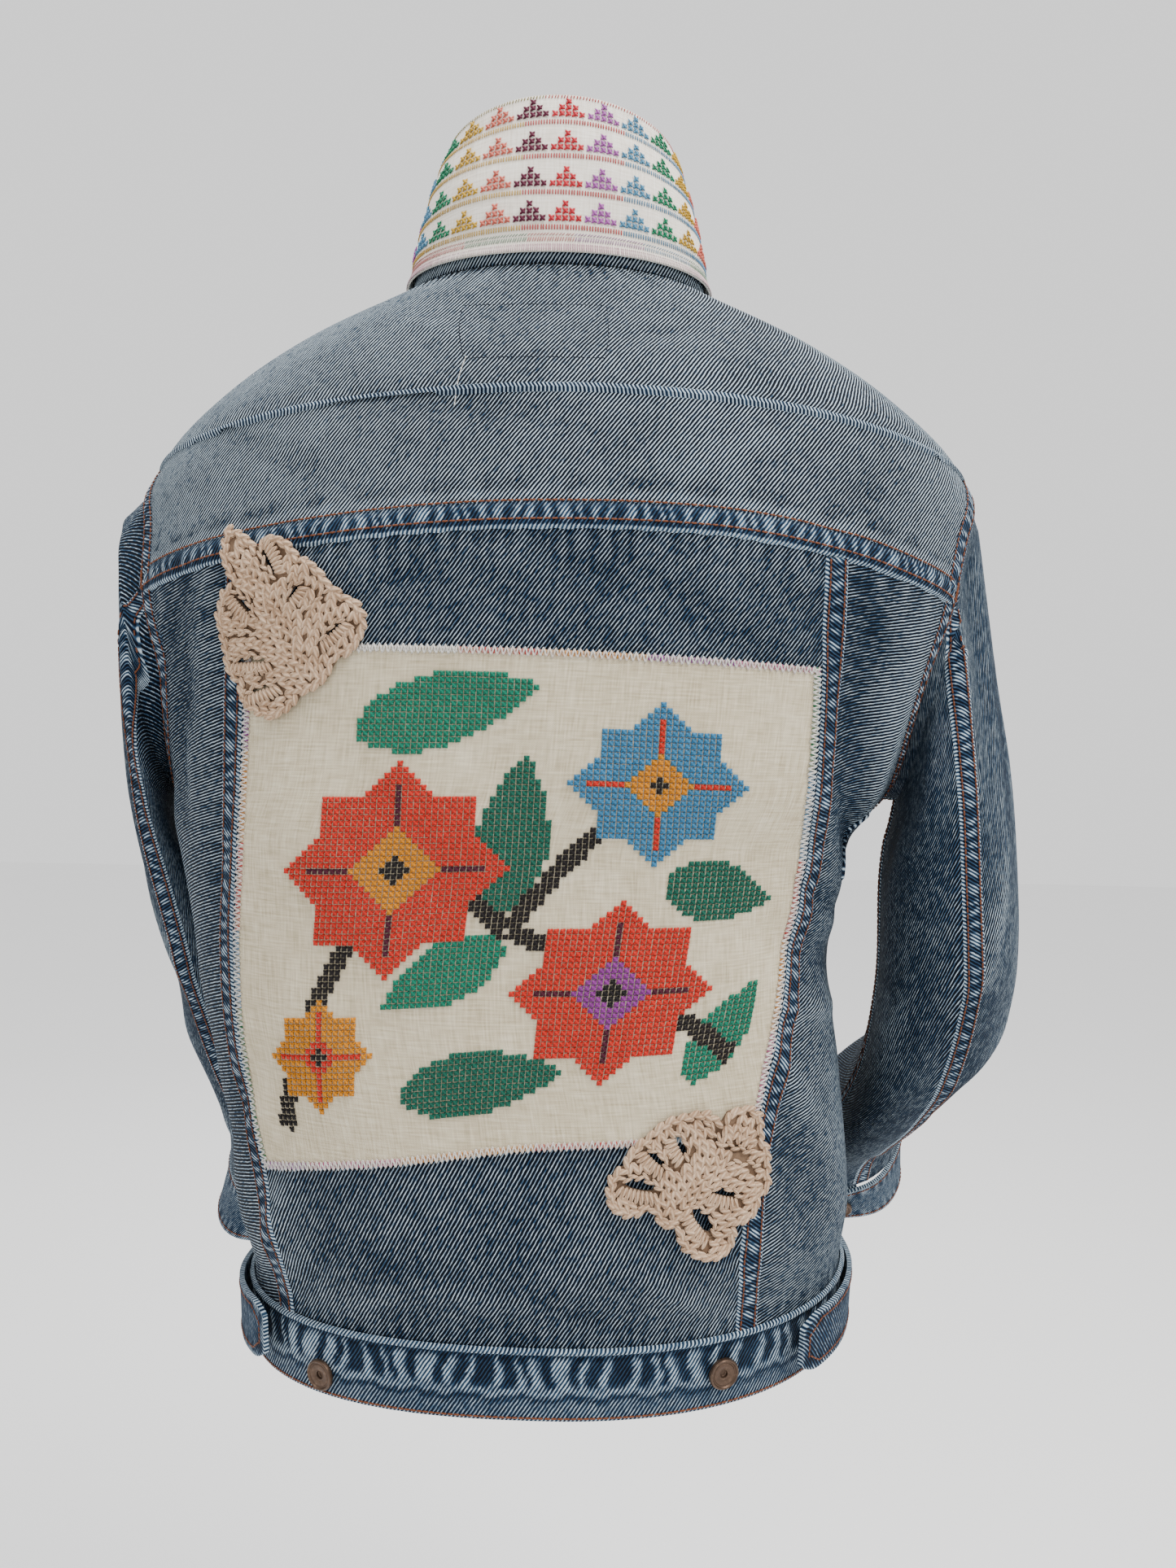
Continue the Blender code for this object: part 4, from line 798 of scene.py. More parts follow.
class SeamLine:  # a line on a surface, with the way square to it, for strips and rows of stitches

    def __init__(self, surface, path, count=500):
        # path is dense, as (a, b) pairs of the surface's own coordinates
        path = np.asarray(path, float)
        points = surface(path[:, 0], path[:, 1])
        run = runOf(points)
        self.length, self.surface = run[-1], surface
        self.s = np.linspace(0, run[-1], count)
        self.a, self.b = (np.interp(self.s, run, path[:, i]) for i in (0, 1))
        stepA, stepB = 0.01, 0.004
        pa = (surface(self.a + stepA, self.b) - surface(self.a - stepA, self.b)) / (2 * stepA)
        pb = (surface(self.a, self.b + stepB) - surface(self.a, self.b - stepB)) / (2 * stepB)
        tangent = unit(np.gradient(surface(self.a, self.b), axis=0))
        square = unit(np.cross(unit(np.cross(pa, pb)), tangent))
        aa, ab, bb = (pa * pa).sum(-1), (pa * pb).sum(-1), (pb * pb).sum(-1)
        da, db = (pa * square).sum(-1), (pb * square).sum(-1)
        det = aa * bb - ab * ab
        self.da, self.db = (da * bb - db * ab) / det, (db * aa - da * ab) / det
        window = np.hanning(25) / np.hanning(25).sum()
        for name in ("da", "db"):
            padded = np.pad(getattr(self, name), 12, mode="edge")
            setattr(self, name, np.convolve(padded, window, mode="valid"))

    def at(self, s, w):
        a, b, da, db = (np.interp(s, self.s, column) for column in (self.a, self.b, self.da, self.db))
        return a + da * w, b + db * w

    def point(self, s, w, out=0.0):
        return self.surface(*self.at(s, w), out)


def blocks(s, pitch, seed=0.0):
    # navy and pale blocks of a puckered seam: -1 to 1, uneven in length
    sway = 0.9 * np.sin(s * 200 + seed) + 0.7 * np.sin(s * 490 + 2.1 * seed) + 0.5 * np.sin(s * 91 + 0.7)
    return np.tanh(2.6 * np.sin(2 * math.pi * s / pitch + sway))


def seamStrip(name, line, low, high, edges, lift, pitch, seed):
    # a felled seam's upper ply, from low to high beside its line; edges are its folded, worn sides
    columns, rows, edgeShare = max(int(line.length / 0.0014), 8), 12, 0.13

    def place(u, v):
        s = line.length * u
        w = low + (high - low) * v
        rise = np.ones(v.shape)
        wear = blocks(s + 0.0012 * np.sin(v * 5 + s * 150), pitch, seed) * hump(v - 0.5, 0.26) * 0.52
        for edge in ("low", "high"):
            near = v if edge == "low" else 1 - v
            if edge in edges:
                rise = rise * (1 - hump(near, 0.055))
                wear = np.where(near < edgeShare, 0.62, wear - 0.45 * hump(near - 0.20, 0.08))
            else:
                rise = rise * ease(near / 0.45)
        out = lift * rise + 0.00030 * blocks(s, pitch, seed) * hump(v - 0.5, 0.34) - 0.00028
        return clothAt(line.point, s, w, out, stacked(s, w), wear)

    return clothGrid(name, columns, rows, place, 0.0008, [denims["seam"]])


def capsule(rings, sides):
    bm = bmesh.new()
    bm.loops.layers.uv.new("cloth")
    bmesh.ops.create_uvsphere(bm, u_segments=sides, v_segments=rings, radius=1.0, calc_uvs=True)
    return meshFrom("capsule", bm)


def scatter(name, template, places, along, normals, sizes, materials, colours=None):
    # many copies of one small mesh as one piece: its Z lies along, its Y on the normal
    count, per = len(places), len(template.vertices)
    co = np.empty(per * 3)
    template.vertices.foreach_get("co", co)
    co = co.reshape(-1, 3)
    reach = np.sign(co[:, 2]) * np.abs(co[:, 2]) ** 0.75
    z = unit(normals - along * (normals * along).sum(-1, keepdims=True))
    y = np.cross(z, along)
    sizes = np.broadcast_to(sizes, (count, 3))
    points = (places[:, None] + along[:, None] * (reach[None, :, None] * sizes[:, None, 0:1])
              + y[:, None] * (co[None, :, 0:1] * sizes[:, None, 1:2])
              + z[:, None] * (co[None, :, 1:2] * sizes[:, None, 2:3]))
    corner = np.empty(len(template.loops), int)
    template.loops.foreach_get("vertex_index", corner)
    starts = np.array([p.loop_start for p in template.polygons])
    uv = np.empty(len(template.loops) * 2, np.float32)
    template.uv_layers[0].data.foreach_get("uv", uv)
    mesh = bpy.data.meshes.new(name)
    mesh.vertices.add(count * per)
    mesh.vertices.foreach_set("co", points.reshape(-1))
    mesh.loops.add(count * len(corner))
    index = (corner[None] + np.arange(count)[:, None] * per).reshape(-1)
    mesh.loops.foreach_set("vertex_index", index)
    mesh.polygons.add(count * len(starts))
    begins = (starts[None] + np.arange(count)[:, None] * len(corner)).reshape(-1)
    mesh.polygons.foreach_set("loop_start", begins)
    mesh.update(calc_edges=True)
    mesh.uv_layers.new(name="cloth").data.foreach_set("uv", np.tile(uv, count).astype(np.float32))
    if colours is not None:
        rgba = np.concatenate([np.repeat(colours, per, axis=0), np.ones((count * per, 1))], -1)
        layer = mesh.attributes.new("thread", "FLOAT_COLOR", "POINT")
        layer.data.foreach_set("color", rgba.astype(np.float32).reshape(-1))
    return linkPiece(name, mesh, materials, 0)


thread = capsule(3, 6)
crossThread = capsule(3, 4)
yarnLoop = capsule(6, 8)


def rowOfStitches(line, offset, out, pitch=0.0032, seed=1):
    # places, directions and normals of a row, for one scatter of many rows
    s = np.arange(pitch / 2, line.length - pitch / 2, pitch)
    s = s + np.random.default_rng(seed).normal(0, pitch * 0.03, len(s))
    points = line.point(s, offset, out)
    ahead = line.point(s + 0.0008, offset, out)
    lifted = line.point(s, offset, out + lifting)
    return points, unit(ahead - points), unit(lifted - points)


stitchSizes = {
    # half length, half width and half height
    "seam": (0.00160, 0.00050, 0.00042), "tabTack": (0.0010, 0.00042, 0.00042),
    "cornerTack": (0.0010, 0.00044, 0.00044), "ghost": (0.00095, 0.00026, 0.00018),
    "loose": (0.00100, 0.00030, 0.00022),
}


def stitchPiece(name, rows, material, size="seam"):
    places, along, normals = (np.concatenate([row[i] for row in rows]) for i in range(3))
    return scatter(name, thread, places, along, normals, stitchSizes[size], [material])


# Where each panel lies, as (angle, t) at shares (u, v)
low = bandTop + cloth["gap"]


def backAt(u, v, lowLine=None, highLine=yokeT, start=0.0, end=1.0):
    share = start + (end - start) * u
    theta = np.radians(48 + 84 * share)
    for _ in range(12):
        degrees = np.degrees(theta)
        floor = low if lowLine is None else lowLine(degrees)
        t = floor + (highLine(degrees) - floor) * v
        theta = angleAt(seamX[1](t) * (1 - share) + seamX[-1](t) * share, t)
    return theta, t


def joined(*runs):
    return np.concatenate([runs[0]] + [run[1:] for run in runs[1:]])


def armholeRun(side, start, end, count=60):
    return np.stack(armhole(side, np.radians(np.linspace(start, end, count))), -1)


def yokeSide(side):
    corner = np.array([float(c) for c in backAt(np.array(0.0 if side > 0 else 1.0), np.array(1.0))])
    end = armholeRun(side, yokePsi, yokePsi, 1)[0]
    theta = np.linspace(corner[0], end[0], 40)
    line = stacked(theta, yokeT(np.degrees(theta)))
    line[0], line[-1] = corner, end
    return line


def shoulderLine(side):
    start = armholeRun(side, shoulderPsi, shoulderPsi, 1)[0]
    end = np.array([math.radians(shoulderNeck if side > 0 else 180 - shoulderNeck), neckT])
    return start + (end - start) * np.linspace(0, 1, 40)[:, None]


def frontAngle(side, column, t):
    theta = angleAt(side * frontX[column](t), t, back=False)
    return theta if side > 0 else np.where(theta < 0, theta + 2 * math.pi, theta)


def frontLine(side, column, start, end, count=60):
    t = np.linspace(start, end, count)
    return stacked(frontAngle(side, column, t), t)


def straight(a, b, count=40):
    return np.asarray(a) + (np.asarray(b) - np.asarray(a)) * np.linspace(0, 1, count)[:, None]


def frontYokeLine(side):
    start = armholeRun(side, frontYokePsi, frontYokePsi, 1)[0]
    return straight(start, frontLine(side, "placket", frontYokeT, frontYokeT, 1)[0])


backSeam = {side: np.stack(backAt(np.full(80, 0.0 if side > 0 else 1.0), np.linspace(0, 1, 80)), -1)
            for side in (1, -1)}
yokeRow = np.stack(backAt(np.linspace(0, 1, 80), np.ones(80)), -1)
wholeYoke = joined(yokeSide(1)[::-1], yokeRow, yokeSide(-1))


def panelPlaces():
    places = {"back_panel": backAt}
    flanks = [joined(armholeRun(s, yokePsi, shoulderPsi), shoulderLine(s)) for s in (1, -1)]
    yoke = coonsPlace(wholeYoke, straight(flanks[0][-1], flanks[1][-1]), *flanks)
    places["back_yoke"] = lambda u, v: np.moveaxis(yoke(u, v), -1, 0)
    for side, name in ((1, "left"), (-1, "right")):
        under = np.array([0.0 if side > 0 else math.pi, armholeRun(side, 180, 180, 1)[0, 1]])
        top = joined(yokeSide(side), armholeRun(side, yokePsi, 180))
        top[-1] = under
        foot = (under[0], low)
        seam = backSeam[side]
        sideBack = coonsPlace(straight(seam[0], foot), top, seam, straight(foot, under))
        arm = armholeRun(side, -180, frontYokePsi)
        arm[0] = under
        edge = frontLine(side, "placket", low, frontYokeT)
        top = joined(arm, frontYokeLine(side))
        front = coonsPlace(straight(foot, edge[0]), top, straight(foot, under), edge)
        flank = joined(armholeRun(side, frontYokePsi, shoulderPsi), shoulderLine(side))
        inner = frontLine(side, "placket", frontYokeT, neckT)
        frontYoke = coonsPlace(frontYokeLine(side), straight(flank[-1], inner[-1]), flank, inner)
        for kind, at in (("side_back_", sideBack), ("front_", front), ("front_yoke_", frontYoke)):
            places[kind + name] = lambda u, v, at=at: np.moveaxis(at(u, v), -1, 0)

        def placket(u, v, side=side):
            t = low + (neckT - low) * v
            inner, outer = frontAngle(side, "placket", t), frontAngle(side, "edge", t)
            return inner * (1 - u) + outer * u, t

        places["placket_" + name] = placket
    return places


# Each panel's flat size and cut area in metres, its share of grid, its finish
panels = {
    "back_panel": {"flat": (0.292, 0.378), "area": 0.1004, "cells": (82, 106), "finish": "body"},
    "back_yoke": {"flat": (0.478, 0.205), "area": 0.0804, "cells": (130, 56), "finish": "yoke"},
    "side_back_left": {"flat": (0.125, 0.370), "area": 0.0321, "cells": (30, 100), "finish": "side"},
    "side_back_right": {"flat": (0.130, 0.370), "area": 0.0334, "cells": (32, 100), "finish": "side"},
    "front_left": {"flat": (0.185, 0.372), "area": 0.0580, "cells": (44, 96), "finish": "body"},
    "front_right": {"flat": (0.175, 0.372), "area": 0.0547, "cells": (42, 96), "finish": "body"},
    "front_yoke_left": {"flat": (0.165, 0.185), "area": 0.0220, "cells": (36, 46), "finish": "yoke"},
    "front_yoke_right": {"flat": (0.168, 0.190), "area": 0.0237, "cells": (36, 46), "finish": "yoke"},
    "placket_left": {"flat": (0.036, 0.560), "area": 0.0157, "cells": (14, 170), "finish": "body"},
    "placket_right": {"flat": (0.036, 0.560), "area": 0.0156, "cells": (14, 170), "finish": "body"},
    "waistband": {"flat": (0.980, 0.034), "area": 0.0315, "cells": (420, 20), "finish": "seam"},
    "sleeve_left_upper": {"flat": (0.235, 0.470), "area": 0.0768, "cells": (70, 124), "finish": "sleeve"},
    "sleeve_left_under": {"flat": (0.115, 0.410), "area": 0.0207, "cells": (26, 124), "finish": "sleeve"},
    "sleeve_right_upper": {"flat": (0.250, 0.490), "area": 0.0817, "cells": (74, 130), "finish": "sleeve"},
    "sleeve_right_under": {"flat": (0.120, 0.430), "area": 0.0249, "cells": (28, 130), "finish": "sleeve"},
    "cuff_left": {"flat": (0.300, 0.052), "area": 0.0130, "cells": (90, 14), "finish": "seam"},
    "cuff_right": {"flat": (0.290, 0.052), "area": 0.0121, "cells": (90, 14), "finish": "seam"},
    "collar": {"flat": (0.440, 0.092), "area": 0.0320, "cells": (130, 26), "finish": "yoke"},
    "collar_patch": {"flat": (0.430, 0.086), "area": 0.0280, "cells": (150, 40), "finish": "paleLinen"},
    "back_patch": {"flat": (0.275, 0.245), "area": 0.0617, "cells": (100, 90), "finish": "linen"},
    "tab_left": {"flat": (0.125, 0.034), "area": 0.0036, "cells": (46, 12), "finish": "seam"},
    "tab_right": {"flat": (0.130, 0.034), "area": 0.0036, "cells": (46, 12), "finish": "seam"},
}
made, trims = {}, {name: [] for name in panels}


def makePanel(name, place, thickness):
    facts = panels[name]
    finish = linens.get(facts["finish"]) or denims[facts["finish"]]
    inside = linens.get(facts["finish"], denims["inside"])
    made[name] = clothGrid(name + "Cloth", *facts["cells"], place, thickness, [finish, inside])


def edgeWearAndShadow(u, v, width, height, seed=0.0):
    # seams pucker the cloth beside them: pale and dark worn streaks that fade inwards, and a thin darker band right at
    # the seam that is painted shadow
    wear = np.zeros(u.shape)
    for d, s in ((u * width, v * height), ((1 - u) * width, v * height),
                 (v * height, u * width), ((1 - v) * height, u * width)):
        wear += blocks(s, puckerPitch, seed) * hump(d, 0.011) * 0.28 - hump(d, 0.004) * 0.18
    return wear


def bodyPlace(name, at, out=0.0):
    width, height = panels[name]["flat"]
    seed = sum(ord(letter) for letter in name)

    def place(u, v):
        theta, t = at(u, v)
        flatPoint = plainBody(theta, t)
        # fold and crease ridges are painted lighter, partly worn and partly painted highlight, and their troughs
        # darker as painted shade
        relief = foldRelief(bodyCreases, flatPoint, t, foldEdges["creases"])
        relief = relief + 0.4 * foldRelief(bodyFolds, flatPoint, t, foldEdges["folds"])
        narrow = 0.45 if name.startswith("placket") else 1.0
        wear = np.clip(relief / 0.0016, -1, 1) * 0.32 + narrow * edgeWearAndShadow(u, v, width, height, seed)
        if name == "back_yoke":
            above = t - yokeT(np.degrees(theta))
            pale = 0.75 + 0.25 * blocks(theta * 0.12, 0.013, 2.0)
            dark = 0.5 + 0.5 * blocks(theta * 0.12, 0.016, 5.0)
            wear = wear + 0.60 * hump(above - 0.0160, 0.0022) * pale
            wear = wear - 0.45 * hump(above - 0.0215, 0.0030) * dark
        pucker = 0.0003 * blocks(theta * 0.14, puckerPitch, seed) * hump((1 - v) * height, 0.008)
        return clothAt(bodySurface, theta, t, out + pucker, bodyUv(theta, t), wear)

    return place


for name, at in panelPlaces().items():
    doubled = name.startswith("placket")
    makePanel(name, bodyPlace(name, at, cloth["doubled"] - cloth["denim"] if doubled else 0.0),
              cloth["doubled"] if doubled else cloth["denim"])
print("body panels made")

bandOut = cloth["doubled"] - cloth["denim"] / 2


def bandPlace(u, v):
    t = (bandTop - cloth["gap"]) * v
    theta = frontAngle(1, "edge", t) * (1 - u) + frontAngle(-1, "edge", t) * u
    s = lookUp(bodyRound, theta, t / neckT)
    zone = ease((v - 0.44) / 0.10) * ease((0.95 - v) / 0.03)
    pale = blocks(s + 0.0015 * np.sin(v * 9 + s * 90), 0.0105, 1.0)
    wave = v - 0.42 + 0.03 * np.sin(s * 260) + 0.02 * np.sin(s * 610 + 1)
    lumps = 0.5 + 0.5 * np.sin(v * 14 + 2 * np.sin(s * 170))
    wear = (pale * 0.56 - 0.08 + 0.16 * lumps) * zone + 0.10 * (1 - zone)
    # the darker band just under the raised roll and the dark line in the groove under the cord are painted shade
    wear = wear + 0.34 * hump(wave, 0.05) - 0.50 * hump(wave + 0.09, 0.04)
    wear = wear - 0.45 * hump(v - 0.93, 0.04) + 0.4 * hump(v, 0.02)
    out = bandOut + 0.0005 * hump(wave, 0.10) + 0.0004 * pale * zone - 0.0004 * hump(v - 0.93, 0.03)
    return clothAt(bodySurface, theta, t, out, stacked(s, t), wear)


makePanel("waistband", bandPlace, cloth["doubled"])

# The sleeves, cuffs, collar and tabs
sleeveOf = {name: sleeveSurface(name) for name in ("left", "right")}
sleeveSteps, sleeveRun = np.linspace(0, 10, 101), {}
for name, surface in sleeveOf.items():
    middles = (surface(math.radians(60), sleeveSteps) + surface(math.radians(-120), sleeveSteps)) / 2
    sleeveRun[name] = runOf(middles)


def sleeveUv(name, psi, q):
    side = 1 if name == "left" else -1
    return stacked(side * psi * 0.056, -np.interp(q, sleeveSteps, sleeveRun[name]))


def sleevePlace(name, panel, start, end):
    surface, (width, height) = sleeveOf[name], panels[panel]["flat"]

    def place(u, v):
        psi, q = np.radians(start + (end - start) * u), (cuffStart - 0.01) * (1 - v)
        wear = np.zeros(u.shape)
        # raised creases are painted lighter, partly worn and partly painted highlight, and sunken ones darker as
        # painted shade
        for fold in sleeveCreases[name]:
            wear += math.copysign(0.34, fold[-1]) * foldShare(fold, psi, q)
        wear = wear + edgeWearAndShadow(u, v, width, height, start) + 0.10 * hump(np.degrees(psi) - 15, 30)
        return clothAt(surface, psi, q, 0.0, sleeveUv(name, psi, q), wear)

    return place


def cuffOut(psi):
    # the cuff's end laps over its start
    share = ease((np.degrees(psi) - cuffShape["lap"]) / cuffShape["lapRun"])
    return cuffShape["clear"] + (cloth["doubled"] + cloth["gap"]) * share


def cuffPlace(name):
    surface, (first, last) = sleeveOf[name], cuffShape["round"]

    def place(u, v):
        psi, q = np.radians(first + (last - first) * u), cuffEnd - 0.98 * v
        wear = blocks(psi * 0.05, 0.0085, 3.0) * 0.5 * (hump(v - 0.85, 0.12) + hump(v - 0.1, 0.10))
        wear = wear + 0.6 * hump(v, 0.04) + 0.6 * hump(v - 1, 0.04)
        return clothAt(surface, psi, q, cuffOut(psi), sleeveUv(name, psi, q), wear)

    return place


for name in sleeveOf:
    for span, start, end in (("under", yokePsi, 180), ("upper", -180, yokePsi)):
        panel = f"sleeve_{name}_{span}"
        makePanel(panel, sleevePlace(name, panel, start, end), cloth["denim"])
    makePanel(f"cuff_{name}", cuffPlace(name), cloth["doubled"])

collarEnds = [float(frontAngle(side, "edge", np.array(neckT))) + side * 0.02 for side in (1, -1)]


def collarPlace(u, v):
    theta = collarEnds[0] + (collarEnds[1] - collarEnds[0]) * u
    s = lookUp(collarRound, theta, v)
    wear = 0.75 * hump(v - 0.035, 0.014) - 0.5 * hump(v - 0.01, 0.012) + 0.4 * hump(v - 1, 0.03)
    wear = wear + blocks(s, 0.008, 5.0) * 0.3 * hump(v - 0.08, 0.03) - 0.2
    return clothAt(collarSurface, theta, v, np.zeros(v.shape), stacked(s, v * collarHeight), wear)


makePanel("collar", collarPlace, cloth["doubled"])
patchEnds = [collarEnds[0] * 31 / 32 + collarEnds[1] / 32, collarEnds[1] * 31 / 32 + collarEnds[0] / 32]


def collarPatchOut(v):
    roll = hump(v - patchLowV, 0.05)
    return cloth["gap"] + cloth["linen"] + 0.0024 * roll


def collarWave(s, height):
    share = (height - patchLowV) / (patchHighV - patchLowV)
    return 0.0004 * np.sin(s * 70 + height * 9) * ease(share * 8) * ease((1 - share) * 8)


def collarPatchPlace(u, v):
    theta = patchEnds[0] + (patchEnds[1] - patchEnds[0]) * u
    height = patchLowV + (patchHighV - patchLowV) * v
    s = lookUp(collarRound, theta, height)
    out = collarPatchOut(height) + collarWave(s, height)
    uv = stacked(s, height * collarHeight)
    return clothAt(collarSurface, theta, height, out, uv, np.zeros(u.shape))


makePanel("collar_patch", collarPatchPlace, cloth["linen"])

tabs = {"start": -10, "end": {"left": 41, "right": 44}, "rise": {"left": 0.0090, "right": 0.0060},
        "low": 0.0020, "high": 0.0310, "clear": 0.0005, "standOff": 0.0080}


def tabPlace(name):
    side = 1 if name == "left" else -1

    def place(u, v):
        degrees = tabs["start"] + (tabs["end"][name] - tabs["start"]) * u
        theta = np.radians(degrees if side > 0 else 180 - degrees)
        point = np.clip((u - 0.90) / 0.10, 0, 1)  # the free end is cut to a blunt point
        t = (tabs["low"] + (tabs["high"] - tabs["low"]) * (0.5 + (v - 0.5) * (1 - 0.35 * point**2))
             + tabs["rise"][name] * u)
        out = bandOut + tabs["clear"] + tabs["standOff"] * u**1.6 + cloth["doubled"]
        edge = np.minimum(np.minimum(v, 1 - v) * 0.029, (1 - u) * 0.12)
        wear = 0.55 * hump(edge, 0.0012) - 0.30 * hump(edge - 0.0045, 0.0020) - 0.10
        wear = wear + 0.4 * blocks(u * 0.12 + v * 0.01, 0.0085, 4.0) * hump(edge - 0.004, 0.003)
        uv = stacked(side * u * -0.12, v * 0.029)
        return clothAt(bodySurface, theta, t, out, uv, wear)

    return place


for name in sleeveOf:
    makePanel(f"tab_{name}", tabPlace(name), cloth["doubled"])
print("sleeves, cuffs, collar and tabs made")

# The linen panel on the back
patchMargin = 0.03


def patchAt(u, v):
    return backAt(u, v, patchLowT, patchHighT, patchMargin, 1 - patchMargin)


def patchOut(u, v):
    inner = ease(u * 9) * ease((1 - u) * 9) * ease(v * 9) * ease((1 - v) * 9)
    wave = 0.0006 * np.sin(u * 9 + 2 * v) + 0.0005 * np.sin(v * 11 - 3 * u + 1)
    wave = wave + 0.0004 * np.sin(u * 23 + v * 17)
    return cloth["gap"] + cloth["linen"] + 0.0004 + inner * wave


def patchPlace(u, v):
    theta, t = patchAt(u, v)
    return clothAt(bodySurface, theta, t, patchOut(u, v), bodyUv(theta, t), np.zeros(u.shape))


makePanel("back_patch", patchPlace, cloth["linen"])
print("linen panels made")

# Felled seams: strips with worn edges, and their rows of copper-brown stitches
brownRows = {name: [] for name in panels}
seamKinds = {
    # low and high side, its folded edges, lift and pitch of the blocks, then rows as (offsets, out)
    "yoke": (-0.0004, 0.0142, ("low",), 0.0016, 0.0070, (((0.0040,), 0.0015), ((0.0126,), 0.0007))),
    "long": (-0.0062, 0.0062, ("low", "high"), 0.0012, 0.0068, (((-0.0038, 0.0038), 0.0010),)),
    "armhole": (0.0, 0.0125, ("low",), 0.0016, 0.0066, (((0.0038,), 0.0015), ((0.0110,), 0.0008))),
    "frontYoke": (0.0, 0.0125, ("low",), 0.0014, 0.0070, (((0.0040,), 0.0013), ((0.0115,), 0.0007))),
    "shoulder": (-0.0060, 0.0060, ("low", "high"), 0.0010, 0.0070, (((-0.0038, 0.0038), 0.0008),)),
    "sleeve": (-0.0055, 0.0055, ("low", "high"), 0.0010, 0.0068, (((-0.0034, 0.0034), 0.0009),)),
}


def addRows(node, line, offsets, out, **facts):
    for i, offset in enumerate(offsets):
        brownRows[node].append(rowOfStitches(line, offset, out, seed=len(brownRows[node]) + i, **facts))


def sewSeam(kind, node, title, line, seed, turn=1):
    # turn -1 lays the seam's upper ply on the other side of its line
    lowSide, highSide, edges, lift, pitch, rows = seamKinds[kind]
    trims[node].append(seamStrip(title, line, lowSide * turn, highSide * turn, edges, lift, pitch, seed))
    for offsets, out in rows:
        addRows(node, line, [offset * turn for offset in offsets], out)


def overCuff(surface):
    return lambda psi, q, out=0.0: surface(psi, q, out + cuffOut(psi))


yokeLine = SeamLine(bodySurface, wholeYoke)
sewSeam("yoke", "back_yoke", "yokeSeam", yokeLine, 1.0)
for side, name in ((1, "left"), (-1, "right")):
    title = name.title()
    line = SeamLine(bodySurface, backSeam[side])
    sewSeam("long", "back_panel", "longSeam" + title, line, 2.0 + side)
    line = SeamLine(bodySurface, armholeRun(side, -180, 180, 240))
    sewSeam("armhole", "back_yoke", "armholeSeam" + title, line, 4.0 + side, side)
    line = SeamLine(bodySurface, frontYokeLine(side))
    sewSeam("frontYoke", f"front_yoke_{name}", "frontYokeSeam" + title, line, 6.0)
    line = SeamLine(bodySurface, shoulderLine(side))
    sewSeam("shoulder", "back_yoke", "shoulderSeam" + title, line, 7.0)
    surface = sleeveOf[name]
    q = np.linspace(0.02, cuffStart - 0.05, 200)
    for psi, seed in ((yokePsi, 8.0), (180, 9.0)):
        line = SeamLine(surface, stacked(math.radians(psi), q))
        sewSeam("sleeve", f"sleeve_{name}_upper", f"sleeveSeam{title}{psi}", line, seed)
    for height in cuffShape["rows"]:
        path = stacked(np.radians(np.linspace(-270, 110, 200)), height)
        addRows(f"cuff_{name}", SeamLine(overCuff(surface), path), (0.0,), 0.0002)
    placketT = np.linspace(low + 0.002, neckT - 0.002, 200)
    for column, offset in (("placket", 0.0035), ("edge", -0.0030)):
        theta = frontAngle(side, column, placketT) - side * offset / 0.12
        addRows(f"placket_{name}", SeamLine(bodySurface, stacked(theta, placketT)), (0.0,), 0.0012)

# The waistband's corded top edge, its lower stitching and its brown hem stitch
bandAngles = np.linspace(float(frontAngle(1, "edge", np.array(bandTop))) + 0.004,
                         float(frontAngle(-1, "edge", np.array(bandTop))) - 0.004, 900)
topLine = SeamLine(bodySurface, stacked(bandAngles, bandTop), 900)


def cordPlace(u, v):
    s = 0.001 + (topLine.length - 0.002) * u
    w = -0.0014 + 0.0030 * v
    bulge = 0.0022 * np.sqrt(np.clip(1 - (2 * v - 1) ** 2, 0, 1))
    twist = s * 2 * math.pi / 0.0021
    out = 0.0008 + bulge + 0.00012 * np.sin(twist + v * 2)
    # the cord's lower side is painted darker, painted shade under the cord
    wear = 0.42 + 0.26 * np.sin(twist + v * 2.4) - 0.9 * hump(v, 0.10)
    return clothAt(topLine.point, s, w, out, stacked(s, w), wear)


trims["waistband"].append(clothGrid("bandCord", 1100, 6, cordPlace, 0.0006, [denims["seam"]]))
hemT = 0.0014
hemLine = SeamLine(bodySurface, stacked(bandAngles, hemT), 900)
addRows("waistband", hemLine, (0.0,), bandOut + 0.0002, pitch=0.0030)


# The tabs' stitching, the bar tacks, and the plain thread where a label was
def overTab(name):
    place = tabPlace(name)

    def surface(a, b, out=0.0):
        u, v = np.broadcast_arrays(np.asarray(a, float), np.asarray(b, float))
        points, _, _, lifted = place(u, v)
        return points + (lifted - points) / lifting * np.asarray(out)[..., None]

    return surface


